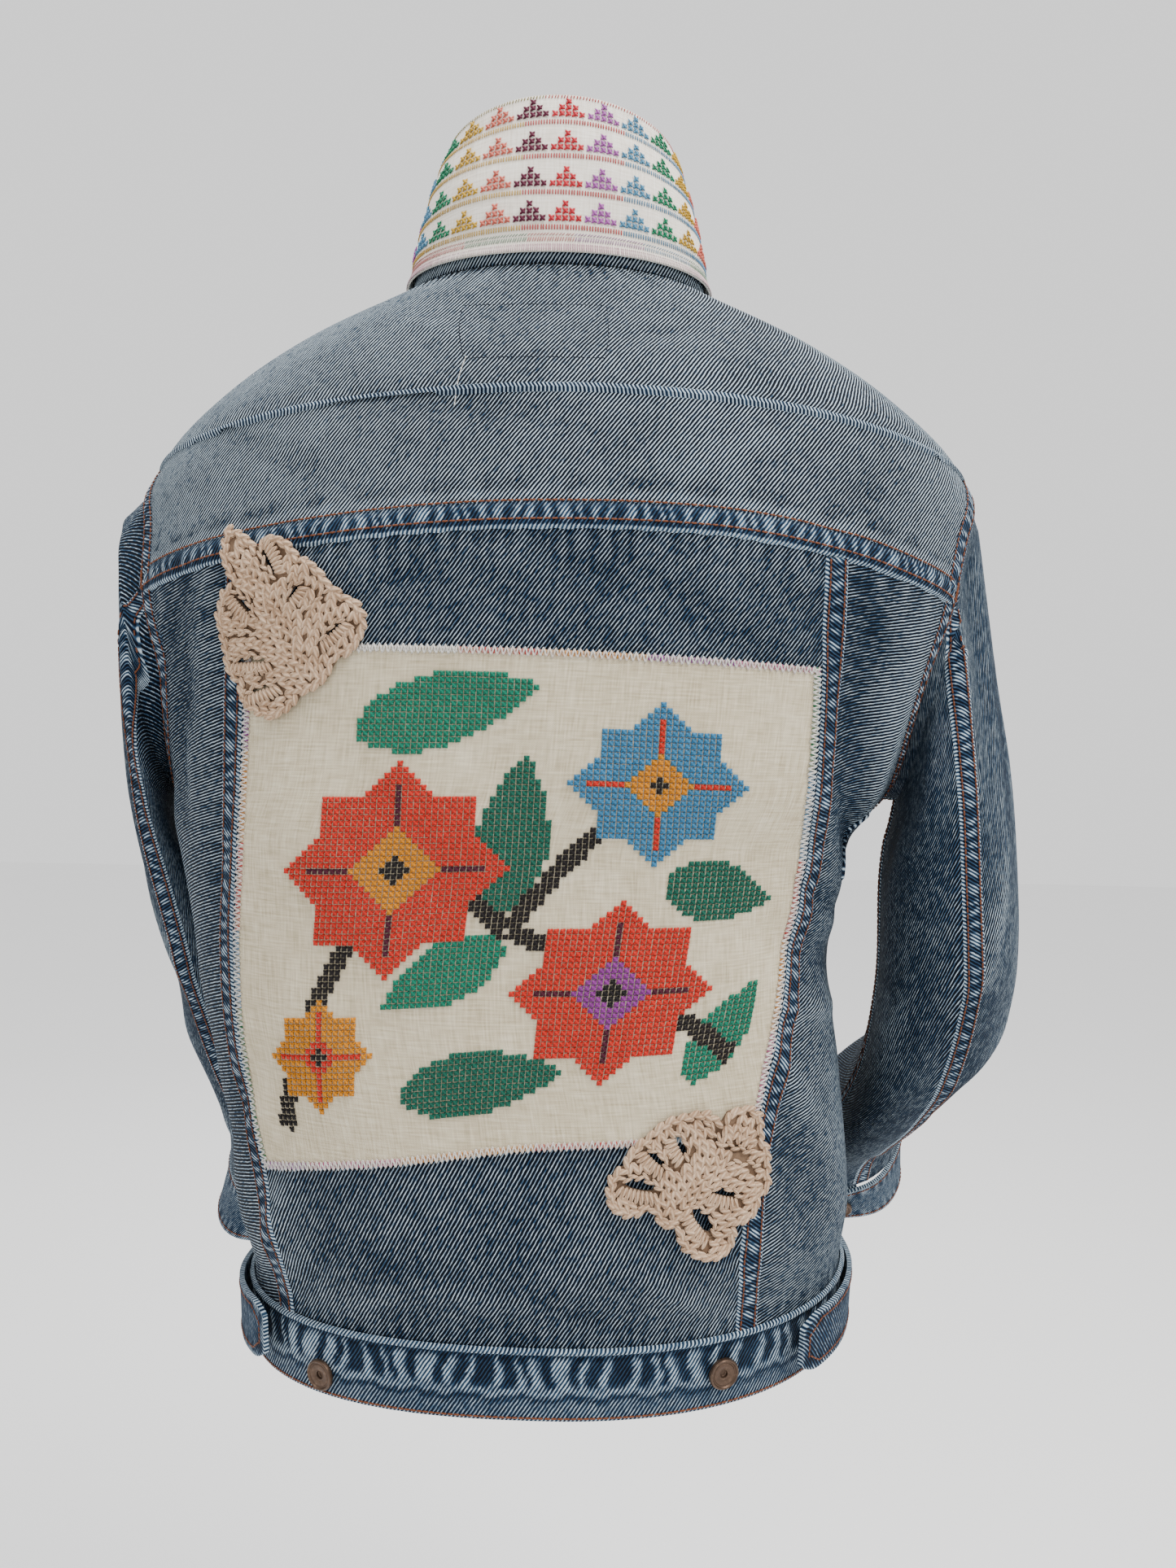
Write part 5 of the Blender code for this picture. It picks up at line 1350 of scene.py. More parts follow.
tabRing = np.array([(0.06, 0.12), (0.90, 0.12), (0.965, 0.30), (0.965, 0.70), (0.90, 0.88), (0.06, 0.88)])
tabRing = np.concatenate([straight(a, b, 60)[:-1] for a, b in zip(tabRing, tabRing[1:])])
barTacks, cornerTacks = [], []
for name in sleeveOf:
    addRows(f"tab_{name}", SeamLine(overTab(name), tabRing, 400), (0.0,), 0.0001)
    line = SeamLine(overTab(name), straight((0.16, 0.15), (0.16, 0.85)))
    barTacks += [rowOfStitches(line, shift, 0.0002, pitch=0.0012) for shift in (-0.0006, 0.0, 0.0006)]
trims["tab_right"].append(stitchPiece("tabBarTacks", barTacks, orangeThread, "tabTack"))
for s in (0.0035, yokeLine.length - 0.0035):
    across = np.stack(yokeLine.at(np.full(30, s), np.linspace(0.0030, 0.0130, 30)), -1)
    line = SeamLine(bodySurface, across, 60)
    cornerTacks += [rowOfStitches(line, shift, 0.0016, pitch=0.0013) for shift in (-0.0006, 0.0006)]
trims["back_yoke"].append(stitchPiece("yokeBarTacks", cornerTacks, copperThread, "cornerTack"))
ghost = np.radians([71.8, 101.1, 97.5, 77.9]), np.array([0.538, 0.538, 0.4975, 0.4974])
ghostRows = []
for i in range(4):
    ends = [(ghost[0][k % 4], ghost[1][k % 4]) for k in (i, i + 1)]
    line = SeamLine(bodySurface, straight(*ends, 80))
    ghostRows.append(rowOfStitches(line, 0.0, 0.0001, pitch=0.0023, seed=i))
ghostDark = stitchPiece("labelGhost", ghostRows, navyThread, "ghost")
paleEnd = straight((ghost[0][3] + 0.004, 0.4985), (ghost[0][3] + 0.008, 0.470), 60)
paleRow = rowOfStitches(SeamLine(bodySurface, paleEnd), 0.0, 0.0001, pitch=0.0017, seed=9)
ghostPale = stitchPiece("labelThread", [paleRow], whiteThread, "loose")
trims["back_yoke"] += [ghostDark, ghostPale]
for node, rows in brownRows.items():
    if rows:
        trims[node].append(stitchPiece(node + "Stitches", rows, copperThread))
print("seams and stitches made")

# Cross stitches: a generic garden of eight-pointed stars and pointed leaves, by formula
threads = {
    "coral": (216, 40, 24), "yellow": (222, 140, 6), "sky": (58, 132, 178), "teal": (0, 98, 78),
    "mint": (0, 126, 98), "brown": (20, 13, 15), "orchid": (146, 54, 148), "plum": (80, 12, 40),
    "green": (0, 118, 70), "white": (236, 232, 224), "red": (200, 20, 34),
    "pink": (200, 92, 142), "blue": (72, 138, 180), "olive": (140, 128, 36),
    "wine": (104, 30, 60), "rose": (218, 50, 64), "lilac": (184, 100, 184), "haze": (92, 154, 190),
    "jade": (16, 136, 94), "maize": (214, 170, 52), "peach": (230, 118, 100),
}
threadRgb = {name: np.array(srgb(*rgb)) for name, rgb in threads.items()}
linenSize = {"wide": 0.262, "high": 0.235}


def tintAt(stops, at):
    # thread colours along a line, each from its own stop to the next
    which = np.searchsorted([stop[0] for stop in stops], at, side="right") - 1
    return np.array([threadRgb[stops[max(k, 0)][1]] for k in which])


def paler(tint, share):
    return tint * (1 - share) + threadRgb["white"] * share


design = {
    "columns": 94, "rows": 87, "edge": 4,
    # column, row, radius, inner and outer colour of each star
    "stars": ((27, 49, 18, "yellow", "coral"), (64, 27, 16, "orchid", "coral"),
              (68, 64, 14, "yellow", "sky"), (16, 18, 9, "coral", "yellow")),
    # column and row of the base, its turn in degrees, length, half width, colour
    "leaves": ((44, 41, 84, 28, 6.0, "teal"), (46, 36, 208, 22, 5.4, "mint"), (70, 47, -14, 19, 5.4, "teal"),
               (19, 72, 16, 31, 6.2, "mint"), (79, 10, 62, 20, 4.6, "mint"), (30, 11, 4, 28, 5.6, "teal")),
    # column and row of both ends of each stem
    "stems": ((8, 6, 27, 49), (27, 49, 46, 38), (46, 38, 64, 27), (46, 38, 68, 64), (64, 27, 86, 14)),
}


def designCells():
    i, j = np.meshgrid(np.arange(design["columns"]), np.arange(design["rows"]), indexing="ij")
    colour = np.full(i.shape, "", dtype="<U8")
    for column, row, turn, length, half, name in design["leaves"]:
        c, s = heading(turn)
        along, across = (i - column) * c + (j - row) * s, (j - row) * c - (i - column) * s
        share = np.clip(along / length, 0, 1)
        width = half * np.sin(math.pi * share**0.8) ** 0.8
        colour[(along > 0) & (along < length) & (np.abs(across) < width)] = name
    for x0, y0, x1, y1 in design["stems"]:
        reach = math.hypot(x1 - x0, y1 - y0)
        along = ((i - x0) * (x1 - x0) + (j - y0) * (y1 - y0)) / reach
        across = ((j - y0) * (x1 - x0) - (i - x0) * (y1 - y0)) / reach
        sway = 1.5 * np.sin(along / reach * math.pi)
        colour[(along > 0) & (along < reach) & (np.abs(across - sway) < 1.6)] = "brown"
    for column, row, radius, inner, outer in design["stars"]:
        dx, dy = np.abs(i - column), np.abs(j - row)
        star = (dx + dy <= radius) | (np.maximum(dx, dy) <= radius * 0.70)
        colour[star] = outer
        colour[star & (np.minimum(dx, dy) == 0) & (np.maximum(dx, dy) < radius * 0.8)] = "plum" \
            if outer == "coral" else "coral"
        colour[dx + dy <= radius * 0.42] = inner
        colour[dx + dy <= radius * 0.14] = "brown"
    edge = design["edge"]
    inside = (i >= edge) & (i < design["columns"] - edge) & (j >= edge) & (j < design["rows"] - edge)
    keep = inside & (colour != "")
    return i[keep], j[keep], colour[keep]


def crossStitches(name, surfaceAt, u, v, stepU, stepV, colours, thick=0.00082):
    # two slanted threads to each cross, the upper one last
    rng = np.random.default_rng(7)
    du, dv = stepU / 2, stepV / 2
    sets = []
    for turn, rise in ((1, 0.0002), (-1, 0.00055)):
        tips = []
        for end in (1, -1):
            reach = end * (0.92 + rng.normal(0, 0.04, (2, len(u))))
            tips.append(surfaceAt(u + du * reach[0], v + dv * turn * reach[1], rise))
        middle, along, half = between(tips[1], tips[0])
        sets.append((middle, along, unit(surfaceAt(u, v, rise + lifting) - middle), half))
    middle, along, normal, half = (np.concatenate([s[i] for s in sets]) for i in range(4))
    shade = rng.uniform(0.88, 1.10, (len(half), 1))
    return scatter(name, crossThread, middle, along, normal, stacked(half, thick, thick * 0.75),
                   [colouredThread], np.concatenate([colours, colours]) * shade)


def patchSurface(u, v, out=0.0):
    theta, t = patchAt(u, v)
    return bodySurface(theta, t, patchOut(u, v) + out)


cellI, cellJ, cellColour = designCells()
print("cross stitches on the back:", len(cellI))
trims["back_patch"].append(crossStitches(
    "backCrosses", patchSurface, (cellI + 0.5) / design["columns"], (cellJ + 0.5) / design["rows"],
    1 / design["columns"], 1 / design["rows"], np.array([threadRgb[c] for c in cellColour])))

# The zigzag round the linen: side, the path's ends, and colours from share to share
zigzag = {
    "top": ((0, 1), (1, 1), (
        (0.0, "white"), (0.38, "red"), (0.52, "yellow"), (0.70, "orchid"), (0.85, "pink"))),
    "right": ((1, 1), (1, 0), (
        (0.0, "green"), (0.22, "sky"), (0.42, "red"), (0.60, "yellow"), (0.80, "pink"))),
    "bottom": ((1, 0), (0, 0), (
        (0.0, "sky"), (0.18, "red"), (0.42, "yellow"), (0.68, "pink"), (0.88, "orchid"))),
    "left": ((0, 0), (0, 1), (
        (0.0, "green"), (0.30, "sky"), (0.45, "red"), (0.62, "yellow"), (0.80, "orchid"))),
}


def zigzagEdge(pitch=0.0027, reach=0.0046):
    sets = []
    rng = np.random.default_rng(5)
    for start, end, stops in zigzag.values():
        start, end = np.array(start), np.array(end)
        upright = start[0] == end[0]
        length = linenSize["high" if upright else "wide"]
        across = linenSize["wide" if upright else "high"]
        s = np.arange(0, length, pitch / 2) / length
        inward = 1.0 - (start + end)
        depth = (np.arange(len(s)) % 2) * reach / across * (1 + rng.normal(0, 0.05, len(s)))
        u, v = (start[k] + (end - start)[k] * s + inward[k] * (depth - 0.0048) for k in (0, 1))
        points = patchSurface(u, v, 0.00055)
        lifted = patchSurface(u, v, 0.00055 + lifting)
        at = (s[:-1] + s[1:]) / 2
        tint = paler(tintAt(stops, at), rng.uniform(0.75, 1.0, (len(at), 1)))
        middle, along, half = between(points[:-1], points[1:])
        sets.append((middle, along, unit((lifted - points)[:-1]), half + 0.0002, tint))
        at = np.linspace(0, 1, int(length / 0.00125))
        serged = at[:, None] * (end - start) + start
        rims = [patchSurface(*(serged + inward * w / across).T, 0.0001) for w in (-0.0004, 0.0028)]
        tint = paler(tintAt(stops, at), rng.uniform(0.0, 0.35, (len(serged), 1)))
        middle, along, half = between(*rims)
        upwards = unit(patchSurface(*serged.T, lifting) - patchSurface(*serged.T))
        sets.append((middle, along, upwards, half, tint))
    middle, along, normal, half, tint = (np.concatenate([s[i] for s in sets]) for i in range(5))
    return scatter("patchZigzag", thread, middle, along, normal, stacked(half, 0.00050, 0.00045),
                   [colouredThread], tint)


trims["back_patch"].append(zigzagEdge())

# The collar's stepped pyramids, dashes and serged edges, a common repeat
collarWork = {"cross": 0.00322, "rise": 0.0035, "step": 0.0172, "first": -0.0117,
              "bases": (0.834, 0.630, 0.417, 0.218),
              "colours": ("wine", "rose", "lilac", "haze", "jade", "maize", "peach")}
angleShares = np.linspace(patchEnds[0], patchEnds[1], 400)


def collarFlat(s, v, out=0.0):
    # a point of the collar's linen from its arc length from the middle and its height share
    s, v = np.broadcast_arrays(np.asarray(s, float), np.asarray(v, float))
    theta = np.empty(s.shape)
    for share in np.unique(np.round(v, 3)):
        pick = np.round(v, 3) == share
        run = lookUp(collarRound, angleShares, np.full(400, share))
        theta[pick] = np.interp(s[pick], run, angleShares)
    return collarSurface(theta, v, collarPatchOut(v) + collarWave(s, v) + 0.00015 + out)


def collarCrosses():
    cross, places, colours = collarWork["cross"], [], []
    for base in collarWork["bases"]:
        for k in range(-9, 11):
            middle = collarWork["first"] + collarWork["step"] * k
            name = collarWork["colours"][k % 7]
            for row, count in enumerate((5, 3, 1)):
                for i in range(count):
                    places.append((middle + (i - (count - 1) / 2) * cross,
                                   base + (row + 0.5) * collarWork["rise"] / collarHeight))
                    colours.append(threadRgb[name])
    places = np.array(places)
    ends = [lookUp(collarRound, np.array([a]), np.array([0.4]))[0] for a in patchEnds]
    keep = (places[:, 0] > min(ends) + 0.006) & (places[:, 0] < max(ends) - 0.006)
    places, colours = places[keep], np.array(colours)[keep]
    return crossStitches("collarCrosses", collarFlat, places[:, 0], places[:, 1], cross,
                         collarWork["rise"] / collarHeight, colours, 0.00076)


def collarDashes():
    # height share, pitch, half length, lean, half width, colour choice
    rows = [(base - 0.030, 0.00130, 0.00150, 0.0, 0.00040, "bands") for base in collarWork["bases"]]
    rows += [(0.072, 0.00105, 0.0024, 0.0, 0.00042, "serged"),
             (0.120, 0.00120, 0.0014, 0.3, 0.00034, "wrap"), (0.148, 0.00150, 0.0007, 1.2, 0.00028, "wrap"),
             (0.968, 0.00150, 0.0011, 0.2, 0.00030, "top")]
    ends = sorted(lookUp(collarRound, np.array([a]), np.array([0.4]))[0] for a in patchEnds)
    sets = []
    rng = np.random.default_rng(11)
    for share, pitch, half, lean, thick, choice in rows:
        s = np.arange(ends[0] + 0.003, ends[1] - 0.003, pitch)
        s = s + rng.normal(0, pitch * 0.06, len(s))
        rise = half / collarHeight
        low, high = (collarFlat(s + lean * half * k, np.full(s.shape, round(share + rise * k, 3)), 0.0002)
                     for k in (-1, 1))
        lifted = collarFlat(s, np.full(s.shape, share), 0.0002 + lifting)
        middle, along, reach = between(low, high)
        if choice == "bands":
            tint = paler(tintAt(((-1, "maize"), (-0.0157, "red"), (0.0338, "blue")), s), 0.1)
        elif choice == "serged":
            tint = paler(threadRgb["pink"], (0.60 - 0.15 * np.sin(s * 60 + 1.0))[:, None])
        elif choice == "wrap":
            stops = ((-0.2, "red"), (-0.045, "green"), (-0.012, "red"), (0.010, "orchid"), (0.045, "sky"),
                     (0.075, "green"))
            tint = paler(tintAt(stops, s), 0.35)
        else:
            tint = tintAt(((-1, "olive"), (-0.006, "red")), s) * 0.85
        sets.append((middle, along, unit(lifted - middle), stacked(reach, thick, thick * 0.8), tint))
    parts = [np.concatenate([s[i] for s in sets]) for i in range(5)]
    return scatter("collarDashes", crossThread, *parts[:4], [colouredThread], parts[4])


trims["collar_patch"] += [collarCrosses(), collarDashes()]
print("embroidery made")

# The crochet leaves: a thin ground with slits cut through, and stitches over it; the ground is coloured dark as
# painted shade between the stitches. Millimetres across and up from a middle at x and t; a slit has its middle,
# length, width and turn; the spine has its ends
leafShapes = {
    "leaf_upper": {"x": 0.1075, "t": 0.3692, "flat": (0.076, 0.095), "area": 0.0044,
                   "spine": ((29, 43), (6, -2), (-10, -30)),
                   "outline": (
        (31.1, 46.9), (23.7, 43.9), (18.2, 38.9), (14.9, 34.9), (12.4, 39.6), (7.0, 40.2), (0.2, 36.5),
        (-3.8, 31.5), (-6.2, 28.5), (-9.7, 27.8), (-15.5, 22.4), (-19.4, 16.3), (-21.9, 14.4), (-27.6, 9.5),
        (-32.6, 7.0), (-36.4, 0.7), (-36.5, -6.1), (-33.4, -12.8), (-29.1, -17.5), (-23.4, -19.5),
        (-21.5, -22.9), (-19.0, -27.9), (-15.2, -31.9), (-10.0, -34.6), (-5.8, -35.7), (-3.4, -40.0),
        (1.3, -43.8), (8.8, -46.8), (15.8, -44.5), (21.9, -40.2), (25.2, -35.2), (25.4, -30.2),
        (29.5, -26.5), (32.4, -21.3), (32.7, -14.7), (34.3, -7.9), (35.6, -0.4), (36.6, 3.5), (35.4, 9.3),
        (33.8, 15.1), (28.5, 19.6), (31.6, 26.1), (33.9, 33.1), (33.5, 40.7)), "slits": (
        (10.0, 27.7, 12.7, 2.0, 64), (21.7, 9.2, 13.2, 2.8, 51), (-2.7, 12.9, 7.3, 2.0, 127),
        (-21.1, -5.9, 14.5, 1.3, 138), (18.6, -18.4, 17.1, 2.5, 1), (13.8, -32.3, 14.8, 1.3, 162)),
        "ropes": ((24, -5, 15, 4), (-13, 8, 14, 140), (20, -24, 15, 175))},
    "leaf_lower": {"x": -0.0763, "t": 0.1113, "flat": (0.076, 0.070), "area": 0.0037,
                   "spine": ((-28, 28), (-10, 8), (6, -8)),
                   "outline": (
        (-27.5, 33.6), (-33.0, 29.4), (-33.9, 23.4), (-33.9, 18.1), (-37.1, 12.6), (-37.8, 7.0),
        (-37.6, 1.1), (-38.0, -5.0), (-35.0, -8.5), (-32.7, -11.0), (-31.8, -15.0), (-28.5, -18.6),
        (-23.6, -20.6),
        (-21.8, -22.3), (-22.1, -26.3), (-20.7, -31.5), (-15.9, -34.5), (-9.5, -35.0), (-3.2, -33.0),
        (3.2, -28.1), (6.0, -22.1), (6.5, -17.1), (9.8, -17.7), (14.3, -15.2), (16.9, -10.3), (18.6, -8.6),
        (22.6, -10.7), (28.1, -11.5), (33.0, -9.5), (36.7, -5.9), (38.0, 0.0), (36.9, 7.0), (33.4, 11.0),
        (30.6, 12.4), (29.6, 17.3), (25.1, 22.4), (19.3, 26.5), (16.7, 29.4), (10.6, 32.8), (4.5, 34.0),
        (-1.8, 34.9), (-6.8, 34.5), (-11.7, 30.8), (-14.6, 29.3), (-17.3, 33.4), (-22.3, 34.4)), "slits": (
        (22.9, 3.6, 15.3, 5.2, 15), (15.8, 15.3, 10.8, 2.8, 46), (4.7, 20.1, 10.3, 2.6, 66),
        (-15.3, -3.9, 12.5, 2.8, 21), (-6.6, -15.4, 14.4, 5.9, 55)),
        "ropes": ((-24, 8, 13, 14), (-20, 16, 12, 24), (-10, 24, 12, 60))},
}
leafRest = cloth["gap"] + cloth["linen"] + 0.0006


def ovalLine(shape, grow=0.0, count=28):
    x, y, length, width, turn = shape
    c, s = heading(turn)
    a = 2 * math.pi * np.arange(count) / count
    far, wide = (length / 2 + grow) * np.cos(a), (width / 2 + grow) * np.sin(a)
    return stacked(x + far * c - wide * s, y + far * s + wide * c)


def leafPoint(leaf, flat, out):
    x, t = leaf["x"] + flat[:, 0] * millimetre, leaf["t"] + flat[:, 1] * millimetre
    return bodySurface(angleAt(x, t), t, leafRest + out)


def insideOf(points, outline):
    a, b = outline, np.roll(outline, -1, axis=0)
    x, y = points[:, 0, None], points[:, 1, None]
    crosses = ((a[:, 1] > y) != (b[:, 1] > y)) & (
        x < (b[:, 0] - a[:, 0]) * (y - a[:, 1]) / (b[:, 1] - a[:, 1] + 1e-12) + a[:, 0])
    return crosses.sum(-1) % 2 == 1


def awayFrom(points, outline):
    a, b = outline, np.roll(outline, -1, axis=0)
    run = b - a
    share = np.clip(((points[:, None] - a) * run).sum(-1) / ((run * run).sum(-1) + 1e-15), 0, 1)
    return np.linalg.norm(points[:, None] - (a + run * share[..., None]), axis=-1).min(-1)


def leafGround(name, leaf, outline, slits):
    data = bpy.data.curves.new(name, "CURVE")
    data.dimensions, data.fill_mode, data.extrude = "2D", "BOTH", cloth["yarn"] * 0.22
    for loop in [outline, *slits]:
        spline = data.splines.new("POLY")
        spline.points.add(len(loop) - 1)
        for point, (x, y) in zip(spline.points, loop):
            point.co = (x * millimetre, y * millimetre, 0, 1)
        spline.use_cyclic_u = True
    drawn = put(name + "Drawn", data)
    mesh = bpy.data.meshes.new_from_object(drawn.evaluated_get(bpy.context.evaluated_depsgraph_get()))
    bpy.data.objects.remove(drawn)
    mesh.materials.clear()
    bm = bmesh.new()
    bm.from_mesh(mesh)
    bmesh.ops.remove_doubles(bm, verts=bm.verts, dist=1e-5)
    for axis in ((1, 0, 0), (0, 1, 0)):
        for reach in np.linspace(-0.045, 0.045, 19):
            bmesh.ops.bisect_plane(bm, geom=bm.verts[:] + bm.edges[:] + bm.faces[:], dist=1e-6,
                                   plane_co=Vector(axis) * reach, plane_no=axis)
    flat = np.array([v.co for v in bm.verts])
    placed = leafPoint(leaf, flat[:, :2] / millimetre, flat[:, 2] + cloth["yarn"] * 0.25)
    for vertex, point in zip(bm.verts, placed):
        vertex.co = point
    bmesh.ops.triangulate(bm, faces=bm.faces)
    bmesh.ops.recalc_face_normals(bm, faces=bm.faces)
    bm.to_mesh(mesh)
    bm.free()
    mesh.uv_layers.new(name="cloth")
    return linkPiece(name + "Ground", mesh, [shadedYarn])


def alongLine(line, pitch, closed=True):
    loop = np.vstack([line, line[:1]]) if closed else np.asarray(line, float)
    run = runOf(loop)
    at = np.linspace(0, run[-1], max(int(run[-1] / pitch), 3), endpoint=not closed)

    def shifted(step):
        s = (at + step) % run[-1] if closed else at + step
        return np.stack([np.interp(s, run, loop[:, k]) for k in (0, 1)], -1)

    return shifted(0.0), unit(shifted(0.6) - shifted(-0.6))


def leafStitches(name, leaf):
    # middles, directions, half lengths, heights and radii of the yarn's short runs, in millimetres
    outline = np.array(leaf["outline"])
    if np.sum(outline[:, 0] * np.roll(outline[:, 1], -1) - np.roll(outline[:, 0], -1) * outline[:, 1]) < 0:
        outline = outline[::-1]
    slits = [ovalLine(slit) for slit in leaf["slits"]]
    rng = np.random.default_rng(len(leaf["slits"]))
    runs = []

    def add(middle, direction, half, high, thick):
        rest = [np.broadcast_to(column, len(middle)) for column in (half, high, thick)]
        runs.append(np.column_stack([middle, direction, *rest]))

    def chain(line, inset, pitch, high, thick, closed=True):
        # a braid of slanted loops, two to a stitch
        points, ahead = alongLine(line, pitch / 2, closed)
        square = stacked(-ahead[:, 1], ahead[:, 0])
        sign = np.where(np.arange(len(points)) % 2, 1.0, -1.0)[:, None]
        middle, direction = points + square * (inset + sign * 0.66), unit(ahead + square * sign * 0.34)
        add(middle, direction, pitch * 0.50, high, thick)

    def clear(points, margin, slitMargin):
        good = insideOf(points, outline) & (awayFrom(points, outline) > margin)
        for slit in slits:
            good &= ~insideOf(points, slit) & (awayFrom(points, slit) > slitMargin)
        return good

    chain(outline, 1.85, 5.6, 2.20, 1.50)
    spine, ahead = alongLine(np.array(leaf["spine"], float), 0.5, False)
    for shape, slit in zip(leaf["slits"], slits):
        # posts stand side by side along the slit's outer side, and a rope runs along its inner side
        x, y, length, width, turn = shape
        along = heading(turn)
        square = np.array([-along[1], along[0]])
        middle = np.array([x, y])
        tip = np.array(leaf["spine"][0], float)
        outwards = -1 if (tip - middle) @ square > 0 else 1
        s = np.arange(-length / 2 - 1.2, length / 2 + 1.3, 2.15)
        arch = 1.6 * (1 - (s / (length / 2 + 1.5)) ** 2)
        fan = unit(square[None] * outwards + along[None] * (s / length)[:, None] * 0.9)
        posts = middle + along * s[:, None] + square * outwards * (width / 2 + 2.6 + arch * 0.4)[:, None]
        good = clear(posts, 1.2, 0.6)
        add(posts[good], fan[good], 3.2, 2.50, rng.uniform(1.14, 1.24, good.sum()))
        tips = np.array([middle + along * (e * (length / 2 + 1.2)) for e in (-1, 0, 1)])
        tips[1] -= square * outwards * (width / 2 + 1.2)
        tips[[0, 2]] -= square * outwards * 0.4
        chain(tips, 0.0, 4.6, 2.70, 0.95, False)
    for x, y, length, turn in leaf["ropes"]:
        reach = heading(turn) * length / 2
        ends = np.array([[x, y] - reach, [x, y] + reach])
        chain(ends, 0.0, 4.6, 2.80, 0.95, False)
    # chunky pairs of slanted stitches along the spine and over what is left
    for r, y in enumerate(np.arange(-46, 48, 1.9)):
        for x in np.arange(-38, 39, 2.3):
            middle = np.array([[x + (1.15 if r % 2 else 0), y]]) + rng.normal(0, 0.20, (1, 2))
            if not clear(middle, 2.4, 1.7)[0]:
                continue
            taken = np.concatenate([run[:, :2] for run in runs])
            if np.linalg.norm(taken - middle, axis=-1).min() < 2.75:
                continue
            near = np.argmin(np.linalg.norm(spine - middle, axis=-1))
            away = middle - spine[near]
            reach = np.linalg.norm(away)
            lean = unit(away / max(reach, 0.1) * min(reach / 7, 1.0) - ahead[near] * 0.9)
            across = stacked(-lean[:, 1], lean[:, 0])
            for sign in (-1, 1):
                add(middle + across * sign * 1.18, unit(lean - across * sign * 0.40), 2.9,
                    2.20 + rng.normal(0, 0.14), rng.uniform(1.42, 1.58))
    runs = np.concatenate(runs)
    middle, direction = runs[:, :2], unit(runs[:, 2:4])
    half, high, thick = (runs[:, k] * millimetre for k in (4, 5, 6))
    tips = [leafPoint(leaf, middle + direction * runs[:, 4:5] * end, high) for end in (1, -1)]
    centre = leafPoint(leaf, middle, high)
    lifted = leafPoint(leaf, middle, high + lifting)
    piece = scatter(name + "Stitches", yarnLoop, centre, unit(tips[0] - tips[1]), unit(lifted - centre),
                    stacked(half + 0.0003, thick, thick * 0.95), [cottonYarn])
    ground = leafGround(name, leaf, outline * 0.975, [ovalLine(s, 0.3) for s in leaf["slits"]])
    return piece, ground, len(runs)


for name, leaf in leafShapes.items():
    stitches, ground, count = leafStitches(name, leaf)
    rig.replaces(ground, name)
    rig.slot(ground, "yarn")
    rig.slot(stitches, "yarn")
    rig.sheet(ground, flat=leaf["flat"], held="laid", with_pieces=[stitches], rests_on=["back_patchCloth"],
             area=leaf["area"])
    print(name, "stitches:", count)

# Buttons of dark bronze: a turned ring with a raised rim and a dark dished middle
buttonShape = {"radius": 0.0076, "height": 0.0030, "clear": 0.0006, "steps": 40}
bandButtons = {"left": (52.0, 0.0105), "right": (122.0, 0.0170)}
frontButtonT = (0.020, 0.118, 0.214, 0.310, 0.406, 0.502)
cuffButtonPsi = 98


def buttonPiece(node, point, normal, lift):
    r, h = buttonShape["radius"], buttonShape["height"]
    profile = ((0, 0.20), (0.16, 0.20), (0.22, 0.30), (0.25, 0.62), (0.30, 0.70), (0.36, 0.66), (0.42, 0.72),
               (0.60, 0.80), (0.68, 0.78), (0.72, 0.70), (0.78, 0.72), (0.84, 0.94), (0.90, 0.99),
               (0.96, 0.86), (1.0, 0.55), (0.99, 0.30), (0.90, 0.05), (0.80, 0.0), (0, 0.0))
    bm = bmesh.new()
    ring = [bm.verts.new((x * r, 0, z * h)) for x, z in profile]
    sides = [bm.edges.new(pair) for pair in zip(ring, ring[1:])]
    bmesh.ops.spin(bm, geom=ring + sides, cent=(0, 0, 0), axis=(0, 0, 1), angle=2 * math.pi,
                   steps=buttonShape["steps"], use_merge=True)
    bmesh.ops.remove_doubles(bm, verts=bm.verts, dist=1e-6)
    bmesh.ops.recalc_face_normals(bm, faces=bm.faces)
    turn = Vector(normal).to_track_quat("Z", "Y").to_matrix().to_4x4()
    seat = Matrix.Translation(Vector(point) + Vector(normal) * lift)
    bmesh.ops.transform(bm, matrix=seat @ turn, verts=bm.verts)
    piece = linkPiece(node + "Metal", meshFrom(node, bm), [bronze], 30)
    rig.replaces(piece, node)
    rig.slot(piece, "bronze")
    return piece


def buttonOn(node, surface, a, b, out, lift):
    point = surface(a, b, out)
    buttonPiece(node, point, unit(surface(a, b, out + lifting) - point), lift)


for name, (degrees, t) in bandButtons.items():
    lift = bandOut + buttonShape["clear"]
    buttonOn(f"band_button_{name}", bodySurface, math.radians(degrees), t, 0.0, lift)
for i, t in enumerate(frontButtonT):
    theta = angleAt((frontX["edge"](t) + frontX["placket"](t)) / 2, np.array(t), back=False)
    lift = (bandOut if t < bandTop else cloth["doubled"] - cloth["denim"]) + buttonShape["clear"]
    buttonOn(f"front_button_{i + 1}", bodySurface, theta, t, 0.0, lift)
for name, surface in sleeveOf.items():
    psi, q = math.radians(cuffButtonPsi), (cuffStart + cuffEnd) / 2
    buttonOn(f"cuff_button_{name}", surface, psi, q, cuffOut(psi), buttonShape["clear"])
print("leaves and buttons made")

# What each piece stands for, and its cut
resting = {"back_patch": ["back_panelCloth"], "collar_patch": ["collarCloth"], "collar": ["back_yokeCloth"]}
for name, piece in made.items():
    facts = panels[name]
    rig.replaces(piece, name)
    material = "linen" if facts["finish"] in linens else "denim"
    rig.slot(piece, material)
    for trim in trims[name]:
        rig.slot(trim, material)
    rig.sheet(piece, flat=facts["flat"], held="hung", area=facts["area"], rests_on=resting.get(name, []),
             with_pieces=trims[name])

